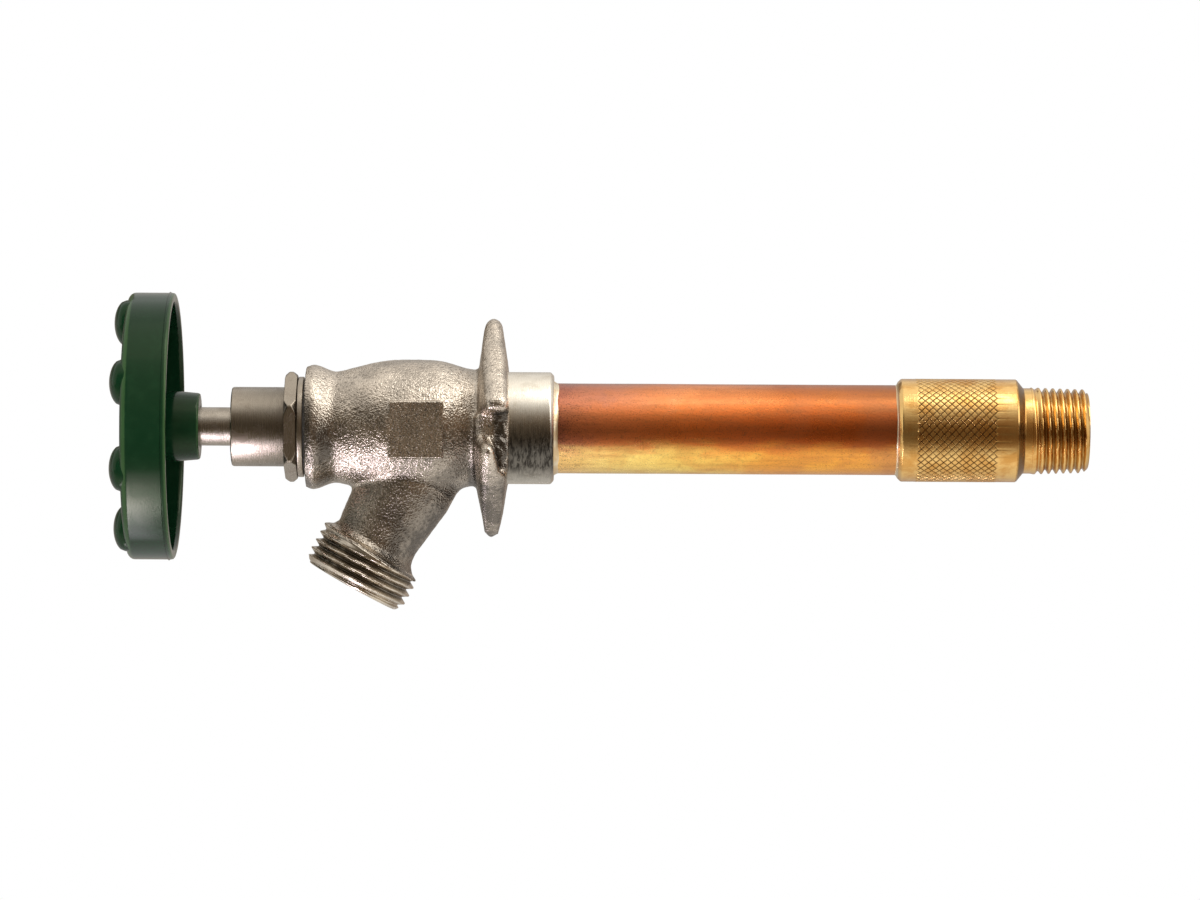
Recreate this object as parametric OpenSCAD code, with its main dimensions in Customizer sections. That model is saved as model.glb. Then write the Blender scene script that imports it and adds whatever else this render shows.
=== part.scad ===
// Frost-free sillcock, shown closed. Turning the handwheel draws a rubber washer off a seat that
// lies at the far end of a tube, inside the heated side of the wall.
// X runs along the stem from the handle to the inlet, Z is up, and the wall is the plane x = 0.

/* [Valve body] */
// Length of the casting in front of the wall
body_len = 50.7; // [49:0.1:58]
// Diameter of the front face
face_d = 29.8; // [28.5:0.1:31]
// Diameter of the bead behind the front face
bead_d = 30.8; // [30:0.1:33]
// Distance from the front face to the top of the bead
bead_x = 1.6; // [1:0.1:3]
// Diameter of the waist behind the bead
waist_d = 27.4; // [26.5:0.1:29]
// Distance from the front face to the waist
waist_x = 7.5; // [6:0.1:10]
// Diameter of the belly
belly_d = 33.6; // [31:0.1:38]
// Distance from the front face to the top of the belly
belly_x = 25.8; // [20:0.1:30]
// Diameter where the casting meets the flange
root_d = 28.4; // [27:0.1:31]
// Distance from the wall to the start of the root
root_x = 9.6; // [8:0.1:12]
// Side of the plain square pad on the near flank
pad_w = 13; // [8:0.1:16]
// Distance from the wall to the middle of the pad
pad_x = 23.3; // [18:0.1:28]
// Height of the pad
pad_h = 0.5; // [0.2:0.1:1]
// Diameter of the water chamber
chamber_d = 21; // [18:0.1:23]
// Length of the web whose thread drives the spindle
web_len = 12; // [9:0.1:13]

/* [Wall flange] */
// Height of the flange
flange_h = 54; // [48:0.5:64]
// Width of the flange across its ears
flange_w = 62; // [56:0.5:72]
// Thickness of the flange at its ears
flange_t = 5.4; // [4.5:0.1:7]
// Thickness of the flange where it meets the casting
flange_root_t = 7.9; // [7:0.1:9]
// How far its upper and lower points stand off the wall more than its ears do
flange_bow = 2.4; // [0.5:0.1:3]
// Corner radius of the upper and lower points
tip_r = 8; // [5:0.1:12]
// Corner radius of the ears
ear_r = 11; // [8:0.1:13]
// Width of the open screw notch in each ear
notch_w = 7.2; // [5:0.1:9]
// Width of a notch at its mouth
notch_mouth = 10.5; // [9:0.1:14]
// Distance between the round ends of the two notches
notch_pitch = 43; // [40:0.1:48]
// Diameter of the turned land that meets the wall
land_d = 34; // [31:0.1:38]
// How far the land stands proud of the ears
land_out = 0.4; // [0.2:0.1:1]
// Diameter of the collar behind the flange
collar_d = 27.65; // [26:0.05:30]
// Length of the collar
collar_len = 10.4; // [8:0.1:16]
// Length of the chamfer at the collar's end
collar_chamfer = 1.4; // [0.6:0.1:2.5]
// Wall left at the collar's mouth
collar_lip = 0.5; // [0.3:0.1:1.2]

/* [Hose spout] */
// Angle of the spout below the stem's axis, in degrees
spout_angle = 61; // [50:1:75]
// Distance from the wall to where the spout's axis crosses the stem's axis
spout_x = 17.5; // [16:0.1:20]
// Length from that crossing to the mouth
spout_len = 44.8; // [42:0.1:55]
// Diameter of the spout where it leaves the body
spout_root_d = 24; // [22:0.1:27]
// Diameter of the spout's neck
spout_neck_d = 20.4; // [19.5:0.1:23]
// Diameter of the waterway in the spout
spout_bore_d = 14.6; // [11:0.1:15.2]
// Diameter of the bore at the mouth
mouth_bore_d = 16; // [15.4:0.1:19]
// Depth of the bore at the mouth
mouth_bore_len = 12; // [8:0.1:13]
// Diameter over the hose thread
hose_d = 26.98; // [25:0.02:28]
// Depth of the hose thread
hose_depth = 1.44; // [1:0.02:1.6]
// Pitch of the hose thread
hose_pitch = 2.209; // [2:0.001:2.5]
// Length of the hose thread
hose_thread_len = 11.1; // [9:0.1:12]
// Length of the flare in front of the thread
hose_flare = 2.4; // [1:0.1:4]

/* [Packing nut] */
// Diameter of the round sleeve
sleeve_d = 19.6; // [18:0.1:22]
// Length of the sleeve
sleeve_len = 13.2; // [10:0.1:18]
// Chamfer on the sleeve's front edge
sleeve_chamfer = 0.7; // [0.3:0.1:1.5]
// Size of the hexagon across its flats
hex_af = 24; // [22:0.1:25.5]
// Thickness of the hexagon
hex_t = 3.1; // [2.5:0.1:6]
// Angle of the hexagon's corner above the horizontal, in degrees
hex_turn = 21.5; // [0:0.5:59.5]
// Chamfer on the hexagon's corners
hex_chamfer = 1.1; // [0.5:0.1:1.6]
// Diameter of the collar between the hexagon and the body
nut_collar_d = 24.8; // [23:0.1:27]
// Thickness of that collar
nut_collar_t = 1.5; // [1:0.1:3]
// Diameter of the thread that screws into the body
nut_thread_d = 21; // [20:0.1:22]
// Depth of the body's socket for that thread
nut_socket_len = 10.4; // [9:0.1:13]
// Diameter of the gasket under the collar
gasket_d = 23.4; // [22.8:0.1:25]
// Thickness of the gasket
gasket_t = 0.6; // [0.4:0.1:1.2]
// Diameter of the counterbore for the packing
packing_d = 15.5; // [13.5:0.1:17]
// Length of the packing
packing_len = 5; // [3:0.1:7]
// Thickness of the gland washer in front of the packing
gland_t = 1; // [0.6:0.1:2]
// Thickness of the packing washer behind it
packing_washer_t = 1.2; // [0.8:0.1:2]

/* [Spindle and rod] */
// Diameter of the spindle
stem_d = 9.5; // [9.2:0.05:10.5]
// Length of spindle that shows between the nut and the wheel
stem_show = 7.9; // [7.5:0.1:14]
// Size of the square end across its flats
square_af = 6.4; // [5.6:0.1:6.4]
// Diameter of the thread that drives the spindle
drive_d = 12.6; // [12:0.1:14]
// Length of that thread
drive_len = 11; // [9:0.1:13]
// How far the stem moves from closed to open
travel = 6.35; // [5:0.05:7]
// Diameter of the spindle's tail around the rod
tail_d = 11.6; // [11:0.1:12]
// Length of the tail
tail_len = 14; // [11:0.1:18]
// Diameter of the long rod
rod_d = 8; // [7:0.1:8.4]
// Depth of the rod in the sockets at its ends
rod_socket = 10; // [8:0.1:10.5]
// Diameter of the cross pins
pin_d = 2.4; // [2:0.1:3]
// Section of the ring seal on the spindle
o_ring_d = 1.4; // [1:0.1:1.6]
// Distance from the sleeve's front to the ring seal
o_ring_x = 11; // [9:0.1:13]

/* [Handwheel] */
// Diameter of the wheel
wheel_d = 66.4; // [60:0.2:76]
// Width of the rim along the stem
rim_len = 11.2; // [9:0.1:16]
// Wall of the rim's skirt
rim_wall = 2.4; // [1.6:0.1:3.5]
// Thickness of the wheel's front face
face_t = 3; // [2:0.1:4.5]
// Width of the front face from the rim to the finger gaps
face_w = 11.8; // [11:0.1:14]
// Rounding of the rim's front edge
rim_round = 2.4; // [1:0.1:2.9]
// Number of grip domes
dome_n = 8; // [6:1:9]
// Diameter of a dome
dome_d = 11.4; // [8:0.1:12]
// Height of a dome
dome_h = 3; // [2:0.1:4]
// Distance from the rim to the middle of a dome
dome_inset = 5.9; // [5.5:0.1:7]
// Width of a spoke
spoke_w = 9; // [6:0.1:11]
// Thickness of a spoke
spoke_t = 4.5; // [3:0.1:6]
// How far the spokes lie behind the front face
spoke_sink = 0.8; // [0.3:0.1:2]
// Diameter of the hub at the wheel
hub_d = 17.3; // [16.5:0.1:19]
// Diameter of the hub at its rear end
hub_end_d = 16.4; // [15:0.1:17]
// How far the hub stands out behind the rim
hub_out = 6.2; // [4:0.1:9]
// Depth of the round seat for the spindle in the hub's rear end
hub_seat = 3; // [2:0.1:4]
// Depth of the recess for the screw in the hub's front
screw_recess = 1.6; // [0.8:0.1:2.4]
// Diameter of the handle screw
screw_d = 4; // [3:0.1:4.4]
// Length of the screw's thread in the spindle
screw_len = 8; // [5:0.1:9]
// Diameter of the screw's head
screw_head_d = 9; // [7.5:0.1:10]
// Height of the screw's head
screw_head_h = 2.6; // [2:0.1:3.2]
// Diameter of the washer under the head
screw_washer_d = 11.4; // [10.5:0.1:12.5]
// Thickness of that washer
screw_washer_t = 0.8; // [0.5:0.1:1.5]
// Width of the screwdriver slot
screw_slot = 1.2; // [0.8:0.1:1.6]

/* [Casing tube] */
// Outside diameter of the tube
tube_d = 22.225; // [21.6:0.005:23]
// Wall of the tube
tube_wall = 1.14; // [0.8:0.02:1.3]
// Length of tube that shows between the collar and the inlet barrel
tube_show = 84.8; // [60:0.1:400]
// Depth of the tube in the casting
front_socket = 16.4; // [13:0.1:17]
// Wall in front of the tube's end, inside the casting
tube_stop = 2; // [1:0.1:3]
// Depth of the tube in the inlet
rear_socket = 12.8; // [10:0.1:14]
// Length of the braze fillets along the tube
braze_leg = 1.1; // [0.6:0.1:1.6]
// Height of the braze fillet on the inlet's mouth
braze_rise = 0.75; // [0.4:0.05:0.9]

/* [Inlet] */
// Diameter of the barrel
barrel_d = 25.4; // [25:0.1:29]
// Length of the barrel
barrel_len = 29.2; // [28:0.1:34]
// Chamfer between the barrel and the neck
barrel_chamfer = 1.8; // [1:0.1:2.1]
// Length of the knurled band
knurl_len = 19.7; // [14:0.1:21]
// Distance from the barrel's front end to the band
knurl_x = 4.4; // [3:0.1:6]
// Depth to which the band is rolled below the barrel
knurl_depth = 0.25; // [0.1:0.05:0.4]
// Diameter of the neck
inlet_neck_d = 21.1; // [20.6:0.1:22]
// Length of the neck
inlet_neck_len = 3.1; // [2:0.1:5]
// Diameter over the pipe thread at its large end
pipe_d = 21.3; // [20.6:0.02:22]
// Depth of the pipe thread
pipe_depth = 1.25; // [0.9:0.01:1.3]
// Pitch of the pipe thread
pipe_pitch = 1.814; // [1.6:0.001:2]
// Length of the pipe thread
pipe_thread_len = 12.9; // [11:0.1:14]
// Diameter of the solder socket in the inlet
solder_d = 15.96; // [15:0.02:16.2]
// Depth of the solder socket
solder_len = 12.7; // [10:0.1:13]
// Diameter of the waterway behind the seat
waterway_d = 13.8; // [12:0.1:14.4]
// Diameter of the bore in the seat
seat_bore_d = 11.2; // [9.6:0.1:11.4]
// Width of the seat's crown
crown_w = 0.9; // [0.5:0.1:1.3]
// Height of the seat's crown
crown_h = 1; // [0.6:0.1:1.6]
// Length of the bore in the seat
seat_len = 5; // [4:0.1:6]
// Diameter of the chamber in front of the seat
seat_chamber_d = 18; // [17.8:0.1:19]
// Length of that chamber to the seat's crown
seat_chamber_len = 8.4; // [7:0.1:9]

/* [Seat washer] */
// Diameter of the washer
washer_d = 14.8; // [14.2:0.1:15]
// Thickness of the washer
washer_t = 4; // [3:0.1:5]
// How far the washer stands out of its cup
washer_out = 1; // [0.5:0.1:1.6]
// Diameter of the cup
cup_d = 17; // [16.6:0.1:17.2]
// Length of the cup
cup_len = 6; // [5:0.1:7]
// Thickness of the cup's floor
cup_floor = 4; // [3.5:0.1:5]
// Number of flutes that let water past the cup
flute_n = 6; // [4:1:8]
// Diameter of a flute
flute_d = 3.2; // [2:0.1:3.6]
// Depth of a flute
flute_depth = 0.8; // [0.4:0.1:0.9]
// Diameter of the boss around the journal
boss_d = 12.2; // [11:0.1:13]
// Diameter of the journal
journal_d = 7; // [6:0.1:7.6]
// Length of the journal
journal_len = 7; // [6:0.1:8]
// Section of the ring that keeps the journal in the boss
ring_w = 0.9; // [0.7:0.05:1.2]
// Distance from the boss's front to the ring
ring_x = 2.6; // [2:0.1:4]
// Diameter of the rod end around the rod
rod_end_d = 11.6; // [11:0.1:12.4]
// Length of the rod end in front of the journal
rod_end_len = 14; // [12.5:0.1:18]
// Diameter of the washer screw
washer_screw_d = 3.5; // [3:0.1:4]
// Length of its thread in the cup
washer_screw_len = 3; // [2.5:0.1:3.2]
// Diameter of its head
washer_head_d = 7; // [6:0.1:8]
// Height of its head
washer_head_h = 2; // [1.4:0.1:3]

/* [Clearances] */
// Radial gap around what turns or slides
running_gap = 0.05; // [0.02:0.01:0.1]
// Radial gap between threads and around pieces that fit into fixed seats
slip_gap = 0.05; // [0.03:0.01:0.1]
// Gap along the stem where moving pieces meet
end_gap = 0.1; // [0.05:0.01:0.2]

/* [Hidden] */
$fn = 96;

// Ease of the casting's outline from bead to waist, waist to belly and belly to root
bead_ease = 1;
belly_ease = 0.65;
root_ease = 1.8;
outline_steps = 8;
arc_steps = 8;
// Length that a cut runs past the face it starts from
past = 1;
// Flank angle of both threads from the square, in degrees
thread_flank = 30;
// Flat on a thread's crest, as a share of its pitch
crest_share = 0.125;
// Taper of the pipe thread, as radius lost along its length
pipe_taper = 1 / 32;

// Places along the stem, from the handle to the inlet
body_x = -body_len;
gasket_x = body_x - gasket_t;
nut_collar_x = gasket_x - nut_collar_t;
hex_x = nut_collar_x - hex_t;
sleeve_x = hex_x - sleeve_len;
hub_x = sleeve_x - stem_show;
rim_x = hub_x - hub_out;
wheel_x = rim_x - rim_len;
recess_x = wheel_x + screw_recess;
spindle_x = recess_x + end_gap;
square_x = hub_x - hub_seat;
shoulder_x = body_x + nut_socket_len;
packing_washer_x = shoulder_x - packing_washer_t;
nut_end_x = packing_washer_x - end_gap;
packing_x = packing_washer_x - packing_len;
gland_x = packing_x - gland_t;
web_x = shoulder_x + web_len;
drive_x = shoulder_x + travel + end_gap;
tail_x = drive_x + drive_len;
tail_end_x = tail_x + tail_len;
tube_x = collar_len - front_socket;
chamber_end_x = tube_x - tube_stop;
barrel_x = collar_len + tube_show;
tube_end_x = barrel_x + rear_socket;
barrel_end_x = barrel_x + barrel_len;
inlet_neck_x = barrel_end_x + barrel_chamfer;
pipe_x = inlet_neck_x + inlet_neck_len;
inlet_end_x = pipe_x + pipe_thread_len;
seat_x = tube_end_x + seat_chamber_len;
seat_face_x = seat_x + crown_h;
washer_end_x = seat_x - running_gap;
washer_x = washer_end_x - washer_t;
cup_end_x = washer_end_x - washer_out;
cup_x = cup_end_x - cup_len;
boss_floor_x = washer_x - cup_floor;
boss_x = boss_floor_x - journal_len;
journal_x = boss_x - end_gap;
journal_end_x = boss_floor_x - end_gap;
ring_mid_x = boss_x + ring_x;
rod_end_x = journal_x - rod_end_len;
rod_x = tail_end_x - rod_socket;
rod_stop_x = rod_end_x + rod_socket;

// Radii shared by pieces that fit one another
stem_bore_r = stem_d / 2 + running_gap;
nut_socket_r = nut_thread_d / 2 + slip_gap;
packing_r = packing_d / 2 - slip_gap;
drive_bore_r = drive_d / 2 + running_gap;
tube_bore_r = tube_d / 2 - tube_wall;
tube_socket_r = tube_d / 2 + slip_gap;
barrel_edge_r = (tube_d + barrel_d) / 4;
rod_socket_r = rod_d / 2 + slip_gap;
journal_bore_r = journal_d / 2 + running_gap;
o_ring_mid_r = stem_bore_r - (o_ring_d + running_gap) / 2;
o_ring_groove_r = o_ring_mid_r - (o_ring_d + running_gap) / 2;
pin_hole_r = pin_d / 2 + slip_gap;
screw_hole_r = screw_d / 2 + slip_gap;
washer_hole_r = washer_screw_d / 2 + slip_gap;
finger_gap_r = wheel_d / 2 - face_w;

// Turns local Z along X
module along_x() {
    rotate([0, 90, 0]) children();
}

// Solid of revolution about the stem's axis from points [x, radius]
module turned(points) {
    along_x() rotate_extrude(convexity = 10) polygon([for (p = points) [p[1], p[0]]]);
}

// Round bar along the stem's axis
module bar(x0, x1, r) {
    translate([x0, 0, 0]) along_x() cylinder(h = x1 - x0, r = r);
}

// Ring with a rectangular section around the stem's axis
module ring(x0, x1, r_in, r_out) {
    turned([[x0, r_in], [x1, r_in], [x1, r_out], [x0, r_out]]);
}

// Pin across the stem at one place
module cross_bar(x, r, length) {
    translate([x, 0, 0]) cylinder(h = length, r = r, center = true);
}

// Local Z runs from the stem's axis out through the spout
module in_spout() {
    translate([-spout_x, 0, 0]) rotate([0, 270 - spout_angle, 0]) children();
}

function ease(t, power) = 0.5 - 0.5 * cos(180 * pow(t, power));

// Points of an eased outline from a to b, without b itself
function eased(a, b, power) = [
    for (i = [0 : outline_steps - 1])
        let (t = i / outline_steps)
        [a[0] + (b[0] - a[0]) * t, a[1] + (b[1] - a[1]) * ease(t, power)]
];

// Points [place, radius] of thread ridges whose crests lie on radius crest_r less taper along them
function ridges(start, length, pitch, crest_r, depth, taper) = [
    for (i = [0 : floor(length / pitch + 0.001) - 1])
        let (
            mid = start + (i + 0.5) * pitch,
            r = crest_r - taper * (mid - start),
            flat = pitch * crest_share / 2,
            foot = min(flat + depth * tan(thread_flank), pitch / 2 - 0.01)
        )
        each [[mid - foot, r - depth], [mid - flat, r], [mid + flat, r], [mid + foot, r - depth]]
];

// Outline of the casting from its front face to its root, grown by a margin
function casting_outline(grow) =
    let (
        face = [body_x, face_d / 2 + grow],
        bead = [body_x + bead_x, bead_d / 2 + grow],
        waist = [body_x + waist_x, waist_d / 2 + grow],
        belly = [body_x + belly_x, belly_d / 2 + grow],
        root = [-root_x, root_d / 2 + grow],
        end = [-flange_t / 2, root_d / 2 + grow]
    )
    concat(
        [[body_x, 0]],
        eased(face, bead, bead_ease),
        eased(bead, waist, bead_ease),
        eased(waist, belly, belly_ease),
        eased(belly, root, root_ease),
        [root, end, [end[0], 0]]
    );

// Points of an arc around c from angle a0 to a1
function arc(c, r, a0, a1) = [
    for (i = [0 : arc_steps]) let (a = a0 + (a1 - a0) * i / arc_steps) c + r * [cos(a), sin(a)]
];

// Lozenge with round corners, its upper and lower points along local X and its ears along local Y
function flange_outline() =
    let (
        tip = flange_h / 2 - tip_r,
        ear = flange_w / 2 - ear_r,
        side = [-tip, ear],
        turn = atan2(side[1], side[0]) - acos((tip_r - ear_r) / norm(side))
    )
    concat(
        arc([tip, 0], tip_r, -turn, turn),
        arc([0, ear], ear_r, turn, 180 - turn),
        arc([-tip, 0], tip_r, 180 - turn, 180 + turn),
        arc([0, -ear], ear_r, 180 + turn, 360 - turn)
    );

// Screw notch that opens through an ear's edge along local Y
function notch_outline() =
    let (
        half = notch_w / 2,
        mouth = notch_mouth / 2,
        reach = flange_w / 2 + past,
        flare = flange_w / 2 - ear_r / 2
    )
    concat(
        arc([0, notch_pitch / 2], half, 180, 360),
        [[half, flare], [mouth, reach], [-mouth, reach], [-half, flare]]
    );

// Flange plate, thicker towards the casting, and bowed so that its upper and lower points clear the wall
module flange() {
    half = flange_h / 2;
    bow_r = (half * half + flange_bow * flange_bow) / (2 * flange_bow);
    depth = flange_root_t + land_out + past;
    slope = (flange_root_t - flange_t) / (flange_w - root_d) * 2;
    reach = flange_w / 2 + past;
    difference() {
        intersection() {
            translate([-depth, 0, 0]) along_x() linear_extrude(height = depth) polygon(flange_outline());
            translate([-bow_r - land_out, 0, 0]) rotate([90, 0, 0])
                cylinder(h = flange_w + past, r = bow_r, center = true);
            turned([
                [-land_out - flange_root_t, 0], [-land_out - flange_root_t, root_d / 2],
                [-land_out - flange_t + slope * past, reach], [past, reach], [past, 0]
            ]);
        }
        for (s = [0, 1])
            mirror([0, s, 0]) translate([-depth - past, 0, 0]) along_x()
                linear_extrude(height = depth + 2 * past) polygon(notch_outline());
    }
}

// Plain raised square on the near flank of the belly
module flank_pad() {
    intersection() {
        turned(casting_outline(pad_h));
        translate([-pad_x - pad_w / 2, -belly_d, -pad_w / 2]) cube([pad_w, belly_d, pad_w]);
    }
}

// Spout with its neck, flare and hose thread
module spout() {
    thread = spout_len - hose_thread_len;
    root_r = hose_d / 2 - hose_depth;
    body_exit = belly_d / 2;
    in_spout() rotate_extrude(convexity = 10) polygon(concat(
        [[0, 0], [spout_root_d / 2, 0], [spout_root_d / 2, body_exit]],
        [[spout_neck_d / 2, thread - hose_flare], [root_r, thread]],
        [for (p = ridges(thread, hose_thread_len, hose_pitch, hose_d / 2, hose_depth, 0)) [p[1], p[0]]],
        [[root_r, spout_len], [0, spout_len]]
    ));
}

module collar() {
    turned([
        [-flange_t, 0], [-flange_t, land_d / 2], [0, land_d / 2], [0, collar_d / 2],
        [collar_len - collar_chamfer, collar_d / 2], [collar_len, tube_socket_r + collar_lip],
        [collar_len, 0]
    ]);
}

module valve_body() {
    color("#9a9186") difference() {
        union() {
            turned(casting_outline(0));
            flank_pad();
            flange();
            collar();
            spout();
        }
        bar(body_x - past, shoulder_x, nut_socket_r);
        bar(shoulder_x - past, web_x + past, drive_bore_r);
        bar(web_x, chamber_end_x, chamber_d / 2);
        bar(chamber_end_x - past, tube_x + past, tube_bore_r);
        bar(tube_x, collar_len + past, tube_socket_r);
        in_spout() cylinder(h = spout_len + past, d = spout_bore_d);
        in_spout() translate([0, 0, spout_len - mouth_bore_len])
            cylinder(h = mouth_bore_len + past, d = mouth_bore_d);
    }
}

module casing_tube() {
    color("#c07a52") ring(tube_x, tube_end_x, tube_bore_r, tube_d / 2);
}

module inlet_fitting() {
    knurl_end = knurl_x + knurl_len;
    rolled_r = barrel_d / 2 - knurl_depth;
    color("#c9a24a") difference() {
        turned(concat(
            [[barrel_x, 0], [barrel_x, barrel_edge_r]],
            [[barrel_x + barrel_d / 2 - barrel_edge_r, barrel_d / 2]],
            [[barrel_x + knurl_x, barrel_d / 2], [barrel_x + knurl_x, rolled_r]],
            [[barrel_x + knurl_end, rolled_r], [barrel_x + knurl_end, barrel_d / 2]],
            [[barrel_end_x, barrel_d / 2], [inlet_neck_x, inlet_neck_d / 2], [pipe_x, inlet_neck_d / 2]],
            [[pipe_x, pipe_d / 2 - pipe_depth]],
            ridges(pipe_x, pipe_thread_len, pipe_pitch, pipe_d / 2, pipe_depth, pipe_taper),
            [[inlet_end_x, pipe_d / 2 - pipe_depth - pipe_taper * pipe_thread_len], [inlet_end_x, 0]]
        ));
        bar(barrel_x - past, tube_end_x, tube_socket_r);
        difference() {
            bar(tube_end_x - past, seat_face_x, seat_chamber_d / 2);
            turned([
                [seat_x, 0], [seat_x, seat_bore_d / 2 + crown_w],
                [seat_face_x + past, seat_bore_d / 2 + crown_w + crown_h], [seat_face_x + past, 0]
            ]);
        }
        bar(seat_x - past, inlet_end_x, seat_bore_d / 2);
        bar(seat_x + seat_len, inlet_end_x, waterway_d / 2);
        bar(inlet_end_x - solder_len, inlet_end_x + past, solder_d / 2);
    }
}

// Fillet of filler from a mouth on the tube, running out along the tube
module braze_ring(x, direction, rise) {
    color("#b9a787") turned([
        [x, tube_socket_r], [x + direction * braze_leg, tube_socket_r], [x, tube_socket_r + rise]
    ]);
}

module front_braze_ring() {
    braze_ring(collar_len, 1, collar_lip);
}

module rear_braze_ring() {
    braze_ring(barrel_x, -1, braze_rise);
}

module packing_nut() {
    color("#b9b4aa") difference() {
        union() {
            turned([
                [sleeve_x, 0], [sleeve_x, sleeve_d / 2 - sleeve_chamfer],
                [sleeve_x + sleeve_chamfer, sleeve_d / 2], [hex_x + past, sleeve_d / 2], [hex_x + past, 0]
            ]);
            intersection() {
                corner_r = hex_af / sqrt(3);
                translate([hex_x, 0, 0]) along_x() rotate([0, 0, 30 - hex_turn])
                    cylinder(h = hex_t, r = corner_r, $fn = 6);
                turned([
                    [hex_x - past, 0], [hex_x - past, corner_r + past],
                    [nut_collar_x - hex_chamfer - past, corner_r + past],
                    [nut_collar_x + past, corner_r - hex_chamfer - past], [nut_collar_x + past, 0]
                ]);
            }
            bar(nut_collar_x - past, gasket_x, nut_collar_d / 2);
            bar(gasket_x - past, nut_end_x, nut_thread_d / 2);
        }
        bar(sleeve_x - past, nut_end_x + past, stem_bore_r);
        bar(gland_x, nut_end_x + past, packing_d / 2);
    }
}

module bonnet_gasket() {
    color("#23211f") ring(gasket_x, body_x, nut_socket_r, gasket_d / 2);
}

module gland_washer() {
    color("#c9a24a") ring(gland_x, packing_x, stem_bore_r, packing_r);
}

module stem_packing() {
    color("#2b2b2d") ring(packing_x, packing_washer_x, stem_bore_r, packing_r);
}

module packing_washer() {
    color("#c9a24a") ring(packing_washer_x, shoulder_x, stem_bore_r, nut_thread_d / 2);
}

module grip_dome() {
    base_r = dome_d / 2;
    ball_r = (base_r * base_r + dome_h * dome_h) / (2 * dome_h);
    translate([wheel_x - dome_h + ball_r, 0, wheel_d / 2 - dome_inset]) intersection() {
        sphere(r = ball_r);
        bar(-ball_r - past, dome_h - ball_r + face_t / 2, base_r);
    }
}

module handwheel() {
    rim_r = wheel_d / 2;
    spoke_x = wheel_x + spoke_sink;
    color("#1f3d2b") difference() {
        union() {
            turned(concat(
                [[wheel_x, finger_gap_r]],
                [
                    for (a = [0 : 15 : 90])
                        [wheel_x + rim_round * (1 - cos(a)), rim_r - rim_round * (1 - sin(a))]
                ],
                [[rim_x, rim_r], [rim_x, rim_r - rim_wall], [wheel_x + face_t, rim_r - rim_wall]],
                [[wheel_x + face_t, finger_gap_r]]
            ));
            for (i = [0 : dome_n - 1]) rotate([(i + 0.5) * 360 / dome_n, 0, 0]) grip_dome();
            translate([spoke_x, 0, 0]) along_x() linear_extrude(height = spoke_t) intersection() {
                circle(r = finger_gap_r + rim_wall);
                union() {
                    square([wheel_d, spoke_w], center = true);
                    square([spoke_w, wheel_d], center = true);
                }
            }
            turned([
                [wheel_x, 0], [wheel_x, hub_d / 2], [rim_x, hub_d / 2], [hub_x, hub_end_d / 2], [hub_x, 0]
            ]);
        }
        bar(wheel_x - past, recess_x, screw_washer_d / 2 + slip_gap);
        translate([recess_x - past, 0, 0]) along_x()
            linear_extrude(height = square_x - recess_x + 2 * past)
                square(square_af + 2 * slip_gap, center = true);
        bar(square_x, hub_x + past, stem_bore_r);
    }
}

module handle_screw() {
    head_x = recess_x - screw_washer_t;
    color("#b7b7b5") difference() {
        union() {
            bar(head_x - screw_head_h, head_x, screw_head_d / 2);
            bar(head_x - past, recess_x + screw_len, screw_d / 2);
        }
        translate([head_x - screw_head_h - past, -screw_head_d, -screw_slot / 2])
            cube([past + screw_head_h / 2, 2 * screw_head_d, screw_slot]);
    }
}

module screw_washer() {
    color("#a9a9a7") ring(recess_x - screw_washer_t, recess_x, screw_hole_r, screw_washer_d / 2);
}

module spindle() {
    groove_mid = sleeve_x + o_ring_x;
    groove_half = o_ring_d / 2 + end_gap;
    color("#c2c0ba") difference() {
        union() {
            translate([spindle_x, 0, 0]) along_x() linear_extrude(height = square_x - spindle_x + past)
                square(square_af, center = true);
            bar(square_x + end_gap, drive_x + past, stem_d / 2);
            bar(drive_x, tail_x, drive_d / 2);
            bar(tail_x - past, tail_end_x, tail_d / 2);
        }
        ring(groove_mid - groove_half, groove_mid + groove_half, o_ring_groove_r, stem_d);
        bar(spindle_x - past, recess_x + screw_len + past, screw_hole_r);
        bar(rod_x, tail_end_x + past, rod_socket_r);
        cross_bar(rod_x + rod_socket / 2, pin_hole_r, 2 * drive_d);
    }
}

module stem_o_ring() {
    color("#1c1c1e") translate([sleeve_x + o_ring_x, 0, 0]) along_x() rotate_extrude()
        translate([o_ring_mid_r, 0]) circle(d = o_ring_d, $fn = 48);
}

module stem_rod() {
    color("#b58a4e") difference() {
        bar(rod_x, rod_stop_x, rod_d / 2);
        cross_bar(rod_x + rod_socket / 2, pin_hole_r, 2 * rod_d);
        cross_bar(rod_end_x + rod_socket / 2, pin_hole_r, 2 * rod_d);
    }
}

module front_rod_pin() {
    color("#9c9c9a") cross_bar(rod_x + rod_socket / 2, pin_d / 2, tail_d - 4 * slip_gap);
}

module rear_rod_pin() {
    color("#9c9c9a") cross_bar(rod_end_x + rod_socket / 2, pin_d / 2, rod_end_d - 4 * slip_gap);
}

module rod_end() {
    groove_half = ring_w / 2 + end_gap;
    color("#c9a24a") difference() {
        union() {
            bar(rod_end_x, journal_x, rod_end_d / 2);
            bar(journal_x - past, journal_end_x, journal_d / 2);
        }
        bar(rod_end_x - past, rod_stop_x, rod_socket_r);
        cross_bar(rod_end_x + rod_socket / 2, pin_hole_r, 2 * rod_end_d);
        ring(ring_mid_x - groove_half, ring_mid_x + groove_half, journal_d / 2 - ring_w / 2, journal_d);
    }
}

module swivel_ring() {
    color("#9c9c9a") ring(
        ring_mid_x - ring_w / 2, ring_mid_x + ring_w / 2,
        journal_d / 2 - ring_w / 2 + running_gap, journal_d / 2 + ring_w / 2
    );
}

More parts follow.
